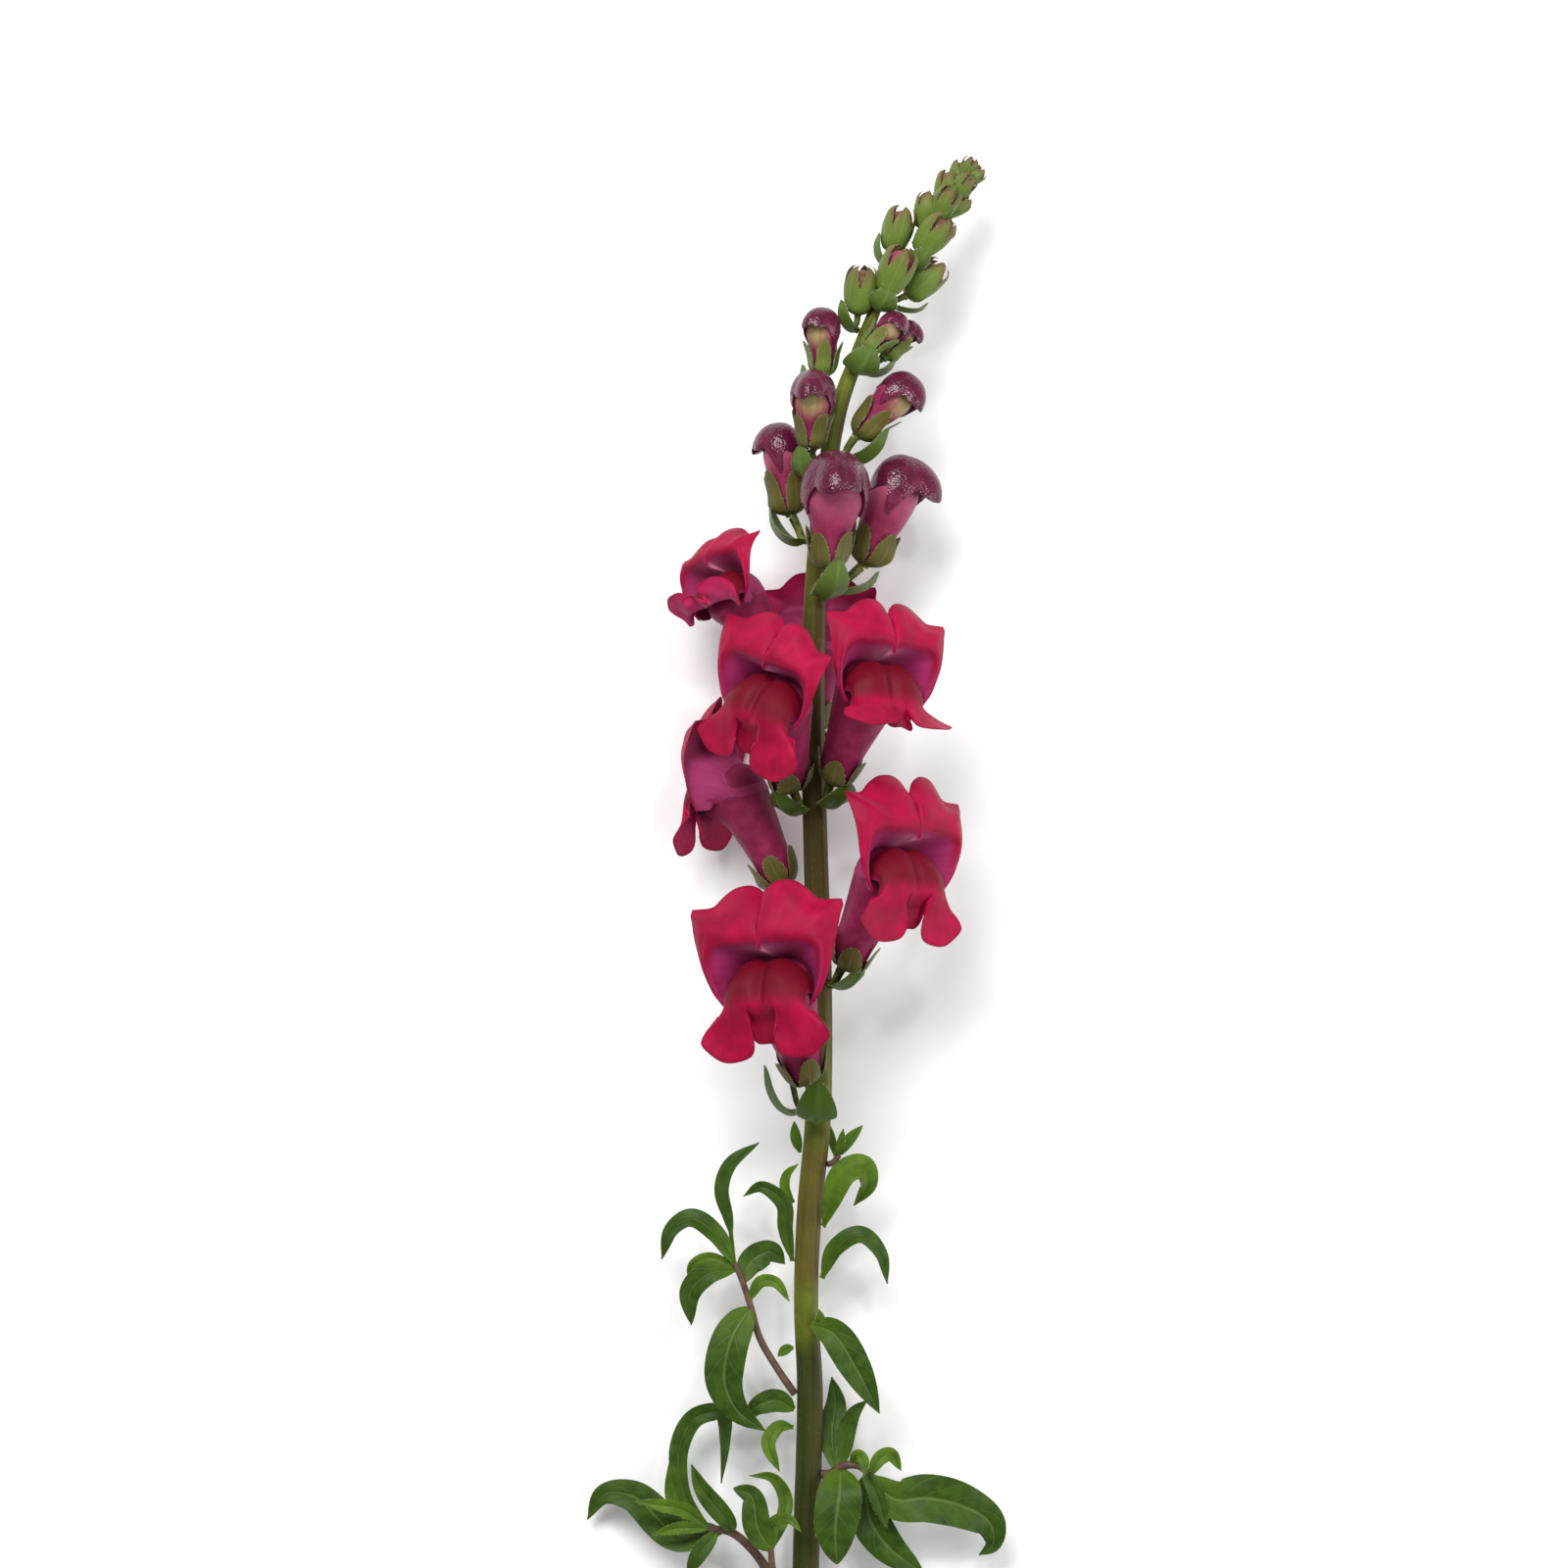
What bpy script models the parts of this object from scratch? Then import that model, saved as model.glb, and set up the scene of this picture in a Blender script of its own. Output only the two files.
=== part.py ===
"""A cut snapdragon stem, laid down on a surface: open blooms, buds, a budded tip and leafy side shoots.

The stem runs along +Y towards its tip, +X is to its right and +Z is up from the surface, which is Z = 0.
Sizes and places are in millimetres until a mesh is made, and MM turns them into metres.
"""

import math

import bmesh
import bpy
import numpy as np

MM = 0.001

# The middle of the finished stem's outline, measured in the drawing that the places below use
FRAME_SHIFT = np.array([2.98, -42.9, 0.0])

BLADE = 0.7  # thickness of a petal, a leaf or a sepal
SEAT = 0.35  # clearance between a piece and the piece that it grows from
REST = 0.4  # height above the surface of the middle of a blade that is pressed flat on it
PRESS_SOFTNESS = 0.9
FLAT_UNDER = 0.12  # whatever is lower than this is part of a flat spot at Z = 0

# Middle line of the main stem from the cut end to the tip: x, y, height and radius
STEM_LINE = (
    (5.0, -245.0, 3.36, 3.4),
    (5.6, -200.0, 9.6, 3.4),
    (6.6, -156.0, 14.2, 3.3),
    (5.6, -134.0, 16.2, 3.1),
    (6.4, -110.0, 18.2, 3.2),
    (8.6, -86.0, 20.2, 3.3),
    (9.0, -52.0, 22.8, 3.2),
    (8.1, -20.0, 24.8, 3.1),
    (7.3, 17.0, 26.4, 3.0),
    (7.8, 46.0, 27.0, 2.8),
    (10.2, 75.0, 26.6, 2.55),
    (14.0, 96.0, 25.8, 2.2),
    (18.2, 108.0, 25.0, 1.95),
    (21.2, 116.0, 24.4, 1.75),
    (25.0, 125.0, 23.6, 1.4),
    (29.5, 132.5, 22.8, 1.2),
    (36.0, 141.5, 21.6, 0.95),
    (41.3, 149.0, 20.6, 0.75),
    (46.0, 155.5, 19.6, 0.5),
)
# Shares of the triangles that a union leaves which are kept
KEPT_OF_COROLLA = 0.6
KEPT_OF_OTHERS = 0.675
STEM_SIDES = 9
STEM_ROWS = 32

# A tube is a closed form along a straight axis that climbs from its base at an angle to the level. Its half
# widths, from side to side and from back to front, are given at shares of its length
TUBE = dict(
    length=28.0,
    climb=60,
    stations=(0.0, 0.05, 0.2, 0.45, 0.7, 0.9, 1.05, 1.18, 1.27, 1.3),
    half_width=(0.0, 3.0, 5.0, 6.3, 7.8, 9.0, 9.8, 9.0, 5.8, 0.0),
    half_depth=(0.0, 3.0, 4.9, 5.7, 6.5, 7.2, 7.4, 6.6, 4.3, 0.0),
    sac=1.6,
    chin=4.2,
)
BIG_BUD = dict(
    length=28.5,
    climb=70,
    stations=(0.0, 0.04, 0.16, 0.32, 0.48, 0.64, 0.77, 0.88, 0.95, 1.0),
    half_width=(0.0, 2.5, 3.9, 4.7, 6.3, 7.7, 7.4, 5.6, 3.3, 0.0),
    half_depth=(0.0, 2.6, 4.2, 5.0, 5.8, 6.2, 5.2, 3.6, 2.0, 0.0),
    sac=1.4,
    chin=0.0,
)
SMALL_BUD = dict(
    length=14.0,
    climb=70,
    stations=(0.0, 0.06, 0.25, 0.5, 0.75, 0.92, 1.0),
    half_width=(0.0, 2.0, 3.3, 3.9, 3.6, 2.4, 0.0),
    half_depth=(0.0, 2.0, 3.3, 3.8, 3.5, 2.3, 0.0),
    sac=0.4,
    chin=0.0,
)
FACE = (0.0, 27.5)  # middle of an open bloom's face: side and up
UPPER_SPREAD = math.radians(124)  # the upper lip reaches this far either side of its middle
# Outline of the upper lip from its middle to its side: angle in degrees, and reach from the face's middle
UPPER_OUTLINE = (
    (0, 9.8), (1.3, 14), (3.5, 21.5), (9, 25), (18, 26.2), (28, 25.4), (36, 24.6),
    (42, 26.2), (46.5, 28), (52, 25), (64, 20.8), (83, 17.2), (106, 14.8), (126, 13.4),
)
MOUTH_RADIUS = ((0, 5.6), (30, 6.8), (60, 9.3), (90, 11.2), (126, 11.9))
# Edge of the lower lip from its middle to its side: share of the way across, then side and height
LOWER_EDGE = (
    (0, 0, 11.4), (0.08, 2.4, 11.6), (0.14, 4.0, 13.2), (0.18, 4.4, 15.6), (0.205, 4.0, 17.6),
    (0.232, 3.4, 14.8), (0.27, 2.9, 11.6), (0.34, 4.0, 8.9), (0.45, 7.6, 7.6), (0.57, 11.6, 7.7),
    (0.66, 14.9, 9.8), (0.73, 17.4, 12.7), (0.8, 16.4, 15.0), (0.89, 14.8, 16.9), (1.0, 13.4, 18.8),
)
# Rows of a lip, as shares of the way from its root to its edge: each is at a bend of its form
UPPER_ROWS = (0, 0.16, 0.36, 0.52, 0.76, 1.0)
LOWER_ROWS = (0, 0.15, 0.34, 0.55, 0.78, 1.0)
HOOD_RIM = 0.76  # share of a hood's rows that is its outside; the rest is its hollow underside

STEM_GREEN = (0.16, 0.24, 0.05)
LEAF_GREEN = (0.06, 0.17, 0.03)
BRACT_GREEN = (0.10, 0.20, 0.05)
BLOOM_CRIMSON = (0.42, 0.01, 0.08)
BUD_PLUM = (0.20, 0.03, 0.10)


def clear_scene():
    for obj in list(bpy.data.objects):
        bpy.data.objects.remove(obj, do_unlink=True)


def material(name, colour, roughness):
    made = bpy.data.materials.new(name)
    made.use_nodes = True
    shader = made.node_tree.nodes["Principled BSDF"]
    shader.inputs["Base Color"].default_value = (*colour, 1)
    shader.inputs["Roughness"].default_value = roughness
    shader.inputs["Metallic"].default_value = 0
    return made


def unit(vectors):
    vectors = np.asarray(vectors, float)
    return vectors / np.maximum(np.linalg.norm(vectors, axis=-1, keepdims=True), 1e-9)


def smooth_line(points, count=96):
    """Points spaced along a smooth curve through the given ones (Catmull-Rom, by chord length)."""
    points = np.asarray(points, float)
    chord = np.linalg.norm(np.diff(points, axis=0), axis=1)
    knots = np.concatenate([[0], np.cumsum(np.sqrt(chord))])
    slopes = np.gradient(points, knots, axis=0)
    at = np.linspace(0, knots[-1], count)
    i = np.clip(np.searchsorted(knots, at, side="right") - 1, 0, len(knots) - 2)
    span = (knots[i + 1] - knots[i])[:, None]
    s = ((at - knots[i])[:, None]) / span
    curve = (
        (2 * s**3 - 3 * s**2 + 1) * points[i]
        + (s**3 - 2 * s**2 + s) * span * slopes[i]
        + (3 * s**2 - 2 * s**3) * points[i + 1]
        + (s**3 - s**2) * span * slopes[i + 1]
    )
    along = np.concatenate([[0], np.cumsum(np.linalg.norm(np.diff(curve, axis=0), axis=1))])
    even = np.linspace(0, along[-1], count)
    return np.stack([np.interp(even, along, curve[:, k]) for k in range(curve.shape[1])], axis=1)


def along(line, u):
    """The places at shares u of a line's length."""
    shares = np.linspace(0, 1, len(line))
    return np.stack([np.interp(u, shares, line[:, k]) for k in range(line.shape[1])], axis=-1)


def through(points, knots, v):
    """Places at v on smooth curves, one for each row, that pass each of the points at its knot."""
    knots = np.asarray(knots, float)
    points = np.stack(points)
    gaps = np.diff(knots)
    steps = (points[1:] - points[:-1]) / gaps[:, None, None]
    slopes = np.empty_like(points)
    slopes[0] = steps[0]
    slopes[-1] = steps[-1]
    for k in range(1, len(knots) - 1):
        slopes[k] = (steps[k - 1] * gaps[k] + steps[k] * gaps[k - 1]) / (gaps[k] + gaps[k - 1])
    i = np.clip(np.searchsorted(knots, v, side="right") - 1, 0, len(knots) - 2)
    span = gaps[i][:, None]
    s = (v - knots[i])[:, None] / span
    row = np.arange(points.shape[1])
    return (
        (2 * s**3 - 3 * s**2 + 1) * points[i, row]
        + (s**3 - 2 * s**2 + s) * span * slopes[i, row]
        + (3 * s**2 - 2 * s**3) * points[i + 1, row]
        + (s**3 - s**2) * span * slopes[i + 1, row]
    )


def pressed(points):
    """Points of a blade's middle surface, none of them lower than a blade that lies flat on the surface."""
    points = np.array(points, float)
    over = points[:, 2] - REST
    blend = np.clip(over + PRESS_SOFTNESS, 0, 2 * PRESS_SOFTNESS) ** 2 / (4 * PRESS_SOFTNESS)
    points[:, 2] = REST + np.where(over > PRESS_SOFTNESS, over, blend)
    return points


def grid_surface(surface, across, lengthwise, thickness=0.0):
    """The mesh of surface(u, v), u across and v along, both from 0 to 1. A thickness makes a sheet solid."""
    mesh = bmesh.new()
    bmesh.ops.create_grid(mesh, x_segments=across, y_segments=lengthwise, size=0.5)
    places = np.array([vert.co for vert in mesh.verts]) + 0.5
    placed = surface(places[:, 0], places[:, 1]) - FRAME_SHIFT
    for vert, place in zip(mesh.verts, placed):
        vert.co = place * MM
    bmesh.ops.remove_doubles(mesh, verts=mesh.verts, dist=2e-6)
    bmesh.ops.triangulate(mesh, faces=mesh.faces)
    bmesh.ops.recalc_face_normals(mesh, faces=mesh.faces)
    data = bpy.data.meshes.new("surface")
    mesh.to_mesh(data)
    mesh.free()
    obj = bpy.data.objects.new("surface", data)
    bpy.context.scene.collection.objects.link(obj)
    if thickness:
        solid = obj.modifiers.new("Thickness", "SOLIDIFY")
        solid.thickness = thickness * MM
        solid.offset = 0
    return obj


def applied(obj):
    """obj with its modifiers applied and its mesh made of triangles."""
    graph = bpy.context.evaluated_depsgraph_get()
    data = bpy.data.meshes.new_from_object(obj.evaluated_get(graph))
    mesh = bmesh.new()
    mesh.from_mesh(data)
    bmesh.ops.remove_doubles(mesh, verts=mesh.verts, dist=2e-6)
    bmesh.ops.triangulate(mesh, faces=mesh.faces)
    mesh.to_mesh(data)
    mesh.free()
    obj.modifiers.clear()
    obj.data = data
    return obj


def fused(pieces, kept):
    """One solid from several that overlap: a Boolean union of the first with a collection of the others."""
    pieces = [applied(piece) for piece in pieces]
    first, others = pieces[0], pieces[1:]
    if not others:
        return first
    group = bpy.data.collections.new("to_fuse")
    bpy.context.scene.collection.children.link(group)
    for piece in others:
        group.objects.link(piece)
    union = first.modifiers.new("Union", "BOOLEAN")
    union.operation = "UNION"
    union.operand_type = "COLLECTION"
    union.collection = group
    union.solver = "MANIFOLD"
    thin = first.modifiers.new("Fewer triangles", "DECIMATE")
    thin.ratio = kept
    applied(first)
    keep_largest_body(first)
    for piece in others:
        bpy.data.objects.remove(piece)
    bpy.data.collections.remove(group)
    return first


def keep_largest_body(obj):
    """Drops the loose scraps that a union can leave."""
    mesh = bmesh.new()
    mesh.from_mesh(obj.data)
    waiting = set(mesh.verts)
    bodies = []
    while waiting:
        edge_of_body = [waiting.pop()]
        body = set(edge_of_body)
        while edge_of_body:
            vert = edge_of_body.pop()
            near = {edge.other_vert(vert) for edge in vert.link_edges} & waiting
            waiting -= near
            body |= near
            edge_of_body.extend(near)
        bodies.append(body)
    bodies.sort(key=len)
    for body in bodies[:-1]:
        bmesh.ops.delete(mesh, geom=list(body), context="VERTS")
    mesh.to_mesh(obj.data)
    mesh.free()


def finish_node(name, pieces, look, collection):
    """Names the fused pieces as one sub-part, flattens what touches the surface and gives it its material."""
    obj = fused(pieces, KEPT_OF_COROLLA if look.name == "bloom_crimson" else KEPT_OF_OTHERS)
    for vert in obj.data.vertices:
        if vert.co.z < FLAT_UNDER * MM:
            vert.co.z = 0
    obj.name = name
    obj.data.name = name
    obj.data.materials.clear()
    obj.data.materials.append(look)
    obj.data.shade_smooth()
    obj.data.set_sharp_from_angle(angle=math.radians(40))
    bpy.context.scene.collection.objects.unlink(obj)
    collection.objects.link(obj)
    return obj


# The main stem

STEM = smooth_line(STEM_LINE, 400)


def stem_at(y):
    """The stem's middle point, its direction and its radius where it passes y."""
    place = np.array([np.interp(y, STEM[:, 1], STEM[:, k]) for k in range(4)])
    ahead = np.array([np.interp(y + 2, STEM[:, 1], STEM[:, k]) for k in range(3)])
    behind = np.array([np.interp(y - 2, STEM[:, 1], STEM[:, k]) for k in range(3)])
    return place[:3], unit(ahead - behind), place[3]


def stem_frame(y, azimuth):
    """The frame at a joint of the stem: its middle, axes to the side, up the stem and outwards, and its radius.
    Azimuth 0 faces up from the surface and 90 faces +X."""
    place, up, radius = stem_at(y)
    front = unit(np.array([0, 0, 1.0]) - up * up[2])
    right = np.cross(up, front)
    turn = math.radians(azimuth)
    out = front * math.cos(turn) + right * math.sin(turn)
    return place, np.array([np.cross(up, out), up, out]), radius


def stalk_surface(points, rows):
    """A round stalk through points (x, y, z, radius). Its first and last rows are its flat ends."""
    line = smooth_line(points, 120)
    heading = unit(np.gradient(line[:, :3], axis=0))
    side = unit(np.cross(heading, np.array([0.02, 0.05, 1.0])))
    depth = np.cross(side, heading)

    def surface(u, v):
        share = np.clip((v * (rows + 2) - 1) / rows, 0, 1)
        turn = 2 * math.pi * u
        middle = along(line, share)
        reach = np.where((v > 0.001) & (v < 0.999), middle[:, 3], 0)[:, None]
        across = along(side, share) * np.cos(turn)[:, None] + along(depth, share) * np.sin(turn)[:, None]
        return middle[:, :3] + across * reach

    return surface


def stalk(points, sides, rows):
    """A round stalk as a closed solid."""
    return grid_surface(stalk_surface(points, rows), sides, rows + 2)


# Blades: leaves, bracts and the like

def blade_surface(points, half_width, face=(0, 0, 1), face_tip=None, petiole=0.0, fold=0.18, wave=0.0,
                  waves=2.5, shape=(0.75, 0.9)):
    """A pointed blade along a curve through points. Its upper side looks along face at the base and face_tip at
    the tip, petiole is the share that is a narrow stalk, fold lifts its edges and wave ripples them."""
    line = smooth_line(points)
    heading = unit(np.gradient(line, axis=0))
    share = np.linspace(0, 1, len(line))[:, None]
    look = unit(np.array(face, float)) * (1 - share) + unit(np.array(face_tip or face, float)) * share
    side = unit(np.cross(heading, look))
    upper = np.cross(side, heading)
    rise, fall = shape
    peak = (rise / (rise + fall)) ** rise * (fall / (rise + fall)) ** fall

    def width(v):
        s = np.clip((v - petiole) / (1 - petiole), 0, 1)
        stalk_half = 0.13 * half_width + 0.35
        body = half_width * (s**rise * np.clip(1 - s, 0, 1) ** fall) / peak
        return np.maximum(body, np.where(v > 0.9, 0.16, stalk_half * np.clip(1.3 - v, 0, 1)))

    def surface(u, v):
        across = 2 * u - 1
        half = width(v)
        edge = np.abs(across)
        ripple = np.sin(2 * math.pi * waves * v + 1.2 * np.sign(across))
        lift = half * (fold * edge + wave * edge**2 * ripple)
        sideways = along(side, v) * (across * half)[:, None]
        return pressed(along(line, v) + sideways + along(upper, v) * lift[:, None])

    return surface


def blade(points, half_width, rows=7, across=2, **looks):
    return grid_surface(blade_surface(points, half_width, **looks), across, rows, BLADE)


# Corollas

def profile(stations, values, at):
    """A smooth profile through a few stations."""
    line = smooth_line(np.stack([stations, values], axis=1), 200)
    return np.interp(at, line[:, 0], np.maximum(line[:, 1], 0))


def outline(points, angle):
    """The reach of a lip at an angle in radians, alike on both sides."""
    line = smooth_line(points, 160)
    return np.interp(np.degrees(np.abs(angle)), line[:, 0], line[:, 1])


SIDEWAYS = np.array([1.0, 0.0, 0.0])


def axes_of(form):
    """The way that a form's axis runs, and the way to its back."""
    climb = math.radians(form["climb"])
    return np.array([0, math.sin(climb), math.cos(climb)]), np.array([0, math.cos(climb), -math.sin(climb)])


def form_point(form, station, turn, grow=0.0):
    """A point of a form's surface. turn is 0 at its back, next to the stem, and grow moves it outwards."""
    ahead, back = axes_of(form)
    half = profile(form["stations"], form["half_width"], station) + grow
    deep = profile(form["stations"], form["half_depth"], station) + grow
    front = np.clip(-np.cos(turn), 0, 1)
    pouch = form["sac"] * np.exp(-(((station - 0.1) / 0.1) ** 2)) * front
    chin = form["chin"] * np.exp(-(((station - 1.02) / 0.17) ** 2)) * front**1.5
    middle = form["length"] * station[:, None] * ahead
    deep = deep + pouch + chin
    return middle + (half * np.sin(turn))[:, None] * SIDEWAYS + (deep * np.cos(turn))[:, None] * back


def hinged(point, hinge, angle):
    """Points turned about a line across the flower, so that what hangs down swings to the front."""
    way = point - hinge
    cosine, sine = math.cos(angle), math.sin(angle)
    swung = [way[:, 0], cosine * way[:, 1] + sine * way[:, 2], cosine * way[:, 2] - sine * way[:, 1]]
    return hinge + np.stack(swung, axis=1)


class Flower:
    """The form of one open bloom."""

    def __init__(self, size=1.0, upper=1.0, upper_back=12.0, lower=1.0, droop=1.0, ruffle=1.0, skew=0.0,
                 phase=0.0):
        self.size = size
        self.upper = upper  # reach of the upper lip
        self.upper_back = upper_back  # how far its lobes lean back towards the stem, in degrees
        self.lower = lower  # reach of the lower lip's lobes
        self.droop = droop  # 1 lets them hang down and 0 makes them stand straight out
        self.ruffle = ruffle
        self.skew = skew  # makes one side a little larger than the other
        self.phase = phase

    def tube(self, u, v):
        return form_point(TUBE, v * TUBE["stations"][-1], 2 * math.pi * u) * self.size

    def upper_lip(self, u, v):
        """From the tube's rim over the throat to a crease, and from there two lobes."""
        across = 2 * u - 1
        face = np.sign(across) * np.abs(across) ** 1.35 * UPPER_SPREAD
        side, level = np.sin(face), np.cos(face)

        def at(reach, depth):
            return np.stack([FACE[0] + reach * side, FACE[1] + reach * level, depth], axis=1)

        root = form_point(TUBE, np.full_like(face, 0.82), face / 1.08, grow=-1.2)
        rim = form_point(TUBE, np.full_like(face, 1.0), face / 1.08, grow=-0.15)
        mouth = outline(MOUTH_RADIUS, face)
        reach = mouth + (outline(UPPER_OUTLINE, face) - mouth) * self.upper * (1 + self.skew * side)
        wing = 1 - level
        across_fold = 9.4 / np.maximum(level, 0.12)
        crease = (across_fold**-5 + (reach - (0.3 + 0.16 * wing) * (reach - mouth)) ** -5) ** -0.2
        lobe = np.clip((reach - crease) / 14, 0, 1)
        wave = self.ruffle * np.sin(4.6 * face + self.phase) * lobe
        inner = at(mouth, 16.8 + 1.1 * wing)
        fold = at(crease, 25.0 - 2.7 * wing)
        half = at(crease + 0.52 * (reach - crease), 24.6 - 1.9 * wing + 0.6 * lobe + 0.5 * wave)
        end = at(reach, 23.0 - 0.5 * wing - 2.2 * lobe + 1.3 * wave)
        lean = math.radians(self.upper_back)
        half, end = hinged(half, fold, lean), hinged(end, fold, lean)
        return through([root, rim, inner, fold, half, end], (0, 0.16, 0.36, 0.52, 0.76, 1.0), v) * self.size

    def lower_lip(self, u, v):
        """From the mouth over the two humps of the palate to a crest, and from there three lobes."""
        across = 2 * u - 1
        arch = across * math.radians(96)
        side, level = np.sin(arch), np.cos(arch)
        flat = 1 - level
        hump = np.exp(-(((np.abs(arch) - 0.5) / 0.3) ** 2))
        furrow = np.exp(-((arch / 0.16) ** 2))
        start = np.stack([8.6 * side, 24 + 6.0 * level, np.full_like(side, 14.5)], axis=1)
        corner = np.clip(flat - 0.55, 0, 1)
        top_up = 24 + (8.3 + 0.5 * hump - 1.1 * furrow) * level
        front_out = 25.2 - 1.6 * flat + 0.9 * hump - 1.7 * furrow
        crest_out = 28.4 - 3.8 * flat + 0.3 * hump - 1.2 * furrow
        top = np.stack([11.3 * side, top_up, 19.6 - 0.8 * flat], axis=1)
        front = np.stack([10.9 * side, 23.6 + 5.6 * level, front_out], axis=1)
        crest = np.stack([11.1 * side, 22.0 - 0.8 * flat - 3.2 * corner, crest_out], axis=1)
        edge = smooth_line(LOWER_EDGE, 300)
        share = np.abs(across)
        edge_side = np.interp(share, edge[:, 0], edge[:, 1]) * np.sign(across)
        edge_down = np.interp(share, edge[:, 0], edge[:, 2])
        scale = self.lower * (1 - self.skew * across)
        middle = np.exp(-((share / 0.21) ** 8))
        wave = self.ruffle * np.sin(7.5 * across + self.phase + 1) * (1 - middle) * (1 - 0.8 * share**6)
        end = np.stack([
            crest[:, 0] + (edge_side - crest[:, 0]) * scale,
            crest[:, 1] + (edge_down - crest[:, 1]) * scale,
            27.6 - 3.6 * flat - 3.0 * middle + wave,
        ], axis=1)
        half = 0.5 * (crest + end)
        half[:, 2] = 27.2 - 3.4 * flat - 2.4 * middle
        lift = math.radians(85) * (1 - self.droop)
        half, end = hinged(half, crest, lift), hinged(end, crest, lift)
        return through([start, top, front, crest, half, end], (0, 0.15, 0.34, 0.55, 0.78, 1.0), v) * self.size


def posed(surface, frame, base, pitch=0.0, roll=0.0):
    """A surface of a flower's own frame, tipped outwards by pitch, rolled, and set at base on the stem."""
    tip, bank = math.radians(pitch), math.radians(roll)
    tilt = np.array([
        [1, 0, 0],
        [0, math.cos(tip), -math.sin(tip)],
        [0, math.sin(tip), math.cos(tip)],
    ])
    banking = np.array([
        [math.cos(bank), -math.sin(bank), 0],
        [math.sin(bank), math.cos(bank), 0],
        [0, 0, 1],
    ])
    turn = banking @ tilt

    def moved(u, v):
        return pressed(surface(u, v) @ turn.T @ frame + base)

    return moved, (turn.T @ frame)


def hood_surface(form, size, beak=1.0):
    """A bud's upper lip: a plump helmet, hollow underneath, with two lapping lobes and a flap down each side."""
    ahead, back = axes_of(form)
    lean = math.radians(-10)
    up = math.cos(lean) * ahead - math.sin(lean) * back
    rear = math.cos(lean) * back + math.sin(lean) * ahead
    centre = 0.69 * form["length"] * ahead - 0.8 * back

    def surface(u, v):
        turn = 2 * math.pi * u
        front = np.abs(turn - math.pi)
        over = np.exp(-((front / 0.95) ** 4))
        lobe = np.exp(-(((front - 0.42) / 0.36) ** 4))
        gap = np.exp(-(((front - 0.84) / 0.17) ** 2))
        flap = np.exp(-(((front - 1.28) / 0.3) ** 2))
        behind = np.clip(-np.cos(front), 0, 1)
        lap = np.tanh((turn - math.pi + 0.1) / 0.08) * np.exp(-((front / 0.55) ** 2))
        rim = 0.84 + 0.21 * lobe - 0.02 * gap + 0.95 * flap + 0.09 * lap + 0.55 * behind
        share = np.clip(v / HOOD_RIM, 0, 1)
        run = share * rim
        angle = 0.5 * math.pi * np.clip(run, 0, 1)
        drop = np.clip(run - 1, 0, 1)
        deep = np.where(np.cos(turn) > 0, 7.2, 7.2 + 3.4 * beak * over)
        level = (deep * np.cos(turn))[:, None] * rear + (8.3 * np.sin(turn))[:, None] * SIDEWAYS
        swell = 1 + beak * share * (0.055 * lap + 0.03 * lobe - 0.05 * gap) - 0.5 * drop**2 * over
        made = centre + (9.2 * np.cos(angle))[:, None] * up + (np.sin(angle) ** 0.92 * swell)[:, None] * level
        made = made - (8.5 * drop)[:, None] * ahead
        held = form_point(form, 0.69 - 8.5 * drop / form["length"], turn, 0.55)
        close = (np.clip(drop / 0.6, 0, 1) * (1 - over))[:, None]
        made = made * (1 - close) + held * close
        within = np.clip((v - HOOD_RIM) / (1 - HOOD_RIM), 0, 1)[:, None]
        hollow = centre + (1.0 + 2.5 * np.sin(math.pi * within)) * up
        return (made * (1 - within) + hollow * within) * size

    return surface


# Calyx, stalk and bract of one flower

SEPALS = 5
CUP_CLEARANCE = 0.85  # from a corolla's surface to the middle of a sepal


def cup_surface(form, size, sepal_length, notch=0.06, flare=0.1):
    """The calyx: a small cup round a corolla's base that parts into five pointed sepals."""
    ahead, _ = axes_of(form)
    grow = CUP_CLEARANCE / size
    foot = -grow / form["length"]
    first = 0.35

    def surface(u, v):
        turn = 2 * math.pi * u
        point = np.abs(np.cos(SEPALS / 2 * turn)) ** 0.85
        length = notch + (sepal_length - notch) * point
        rising = np.clip((v - first) / (1 - first), 0, 1)
        station = np.where(v < first, foot + (0.03 - foot) * v / first, 0.03 + (length - 0.03) * rising)
        held = np.maximum(station, 0.03)
        made = form_point(form, held, turn, grow) + form["length"] * (station - held)[:, None] * ahead
        middle = form["length"] * station[:, None] * ahead
        opening = np.clip(v / first, 0, 1) ** 0.7 * (1 + flare * np.clip((v - 0.6) / 0.4, 0, 1) ** 2)
        return (middle + (made - middle) * opening[:, None]) * size

    return surface


def spec_frame(spec):
    return stem_frame(spec["node"], spec.get("faces", spec["azimuth"]))[1]


def spec_base(spec):
    """Where a corolla's base is: so far up and out from its joint on the stem."""
    place, frame, radius = stem_frame(spec["node"], spec["azimuth"])
    rise, reach = spec.get("base", (6.0, 4.5))
    return place + rise * frame[1] + (radius + reach) * frame[2]


def placed(spec, surface):
    return posed(surface, spec_frame(spec), spec_base(spec), spec.get("pitch", 0), spec.get("roll", 0))


def green_pieces(spec, form, sepal):
    """The calyx, the stalk and the bract of a flower as pieces to fuse."""
    surface = cup_surface(form, spec["size"], spec.get("sepal", sepal), flare=spec.get("flare", 0.1))
    across = 15 if form is TUBE else 10
    return [grid_surface(placed(spec, surface)[0], across, 3, BLADE)] + stalk_and_bract(spec, form)


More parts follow.
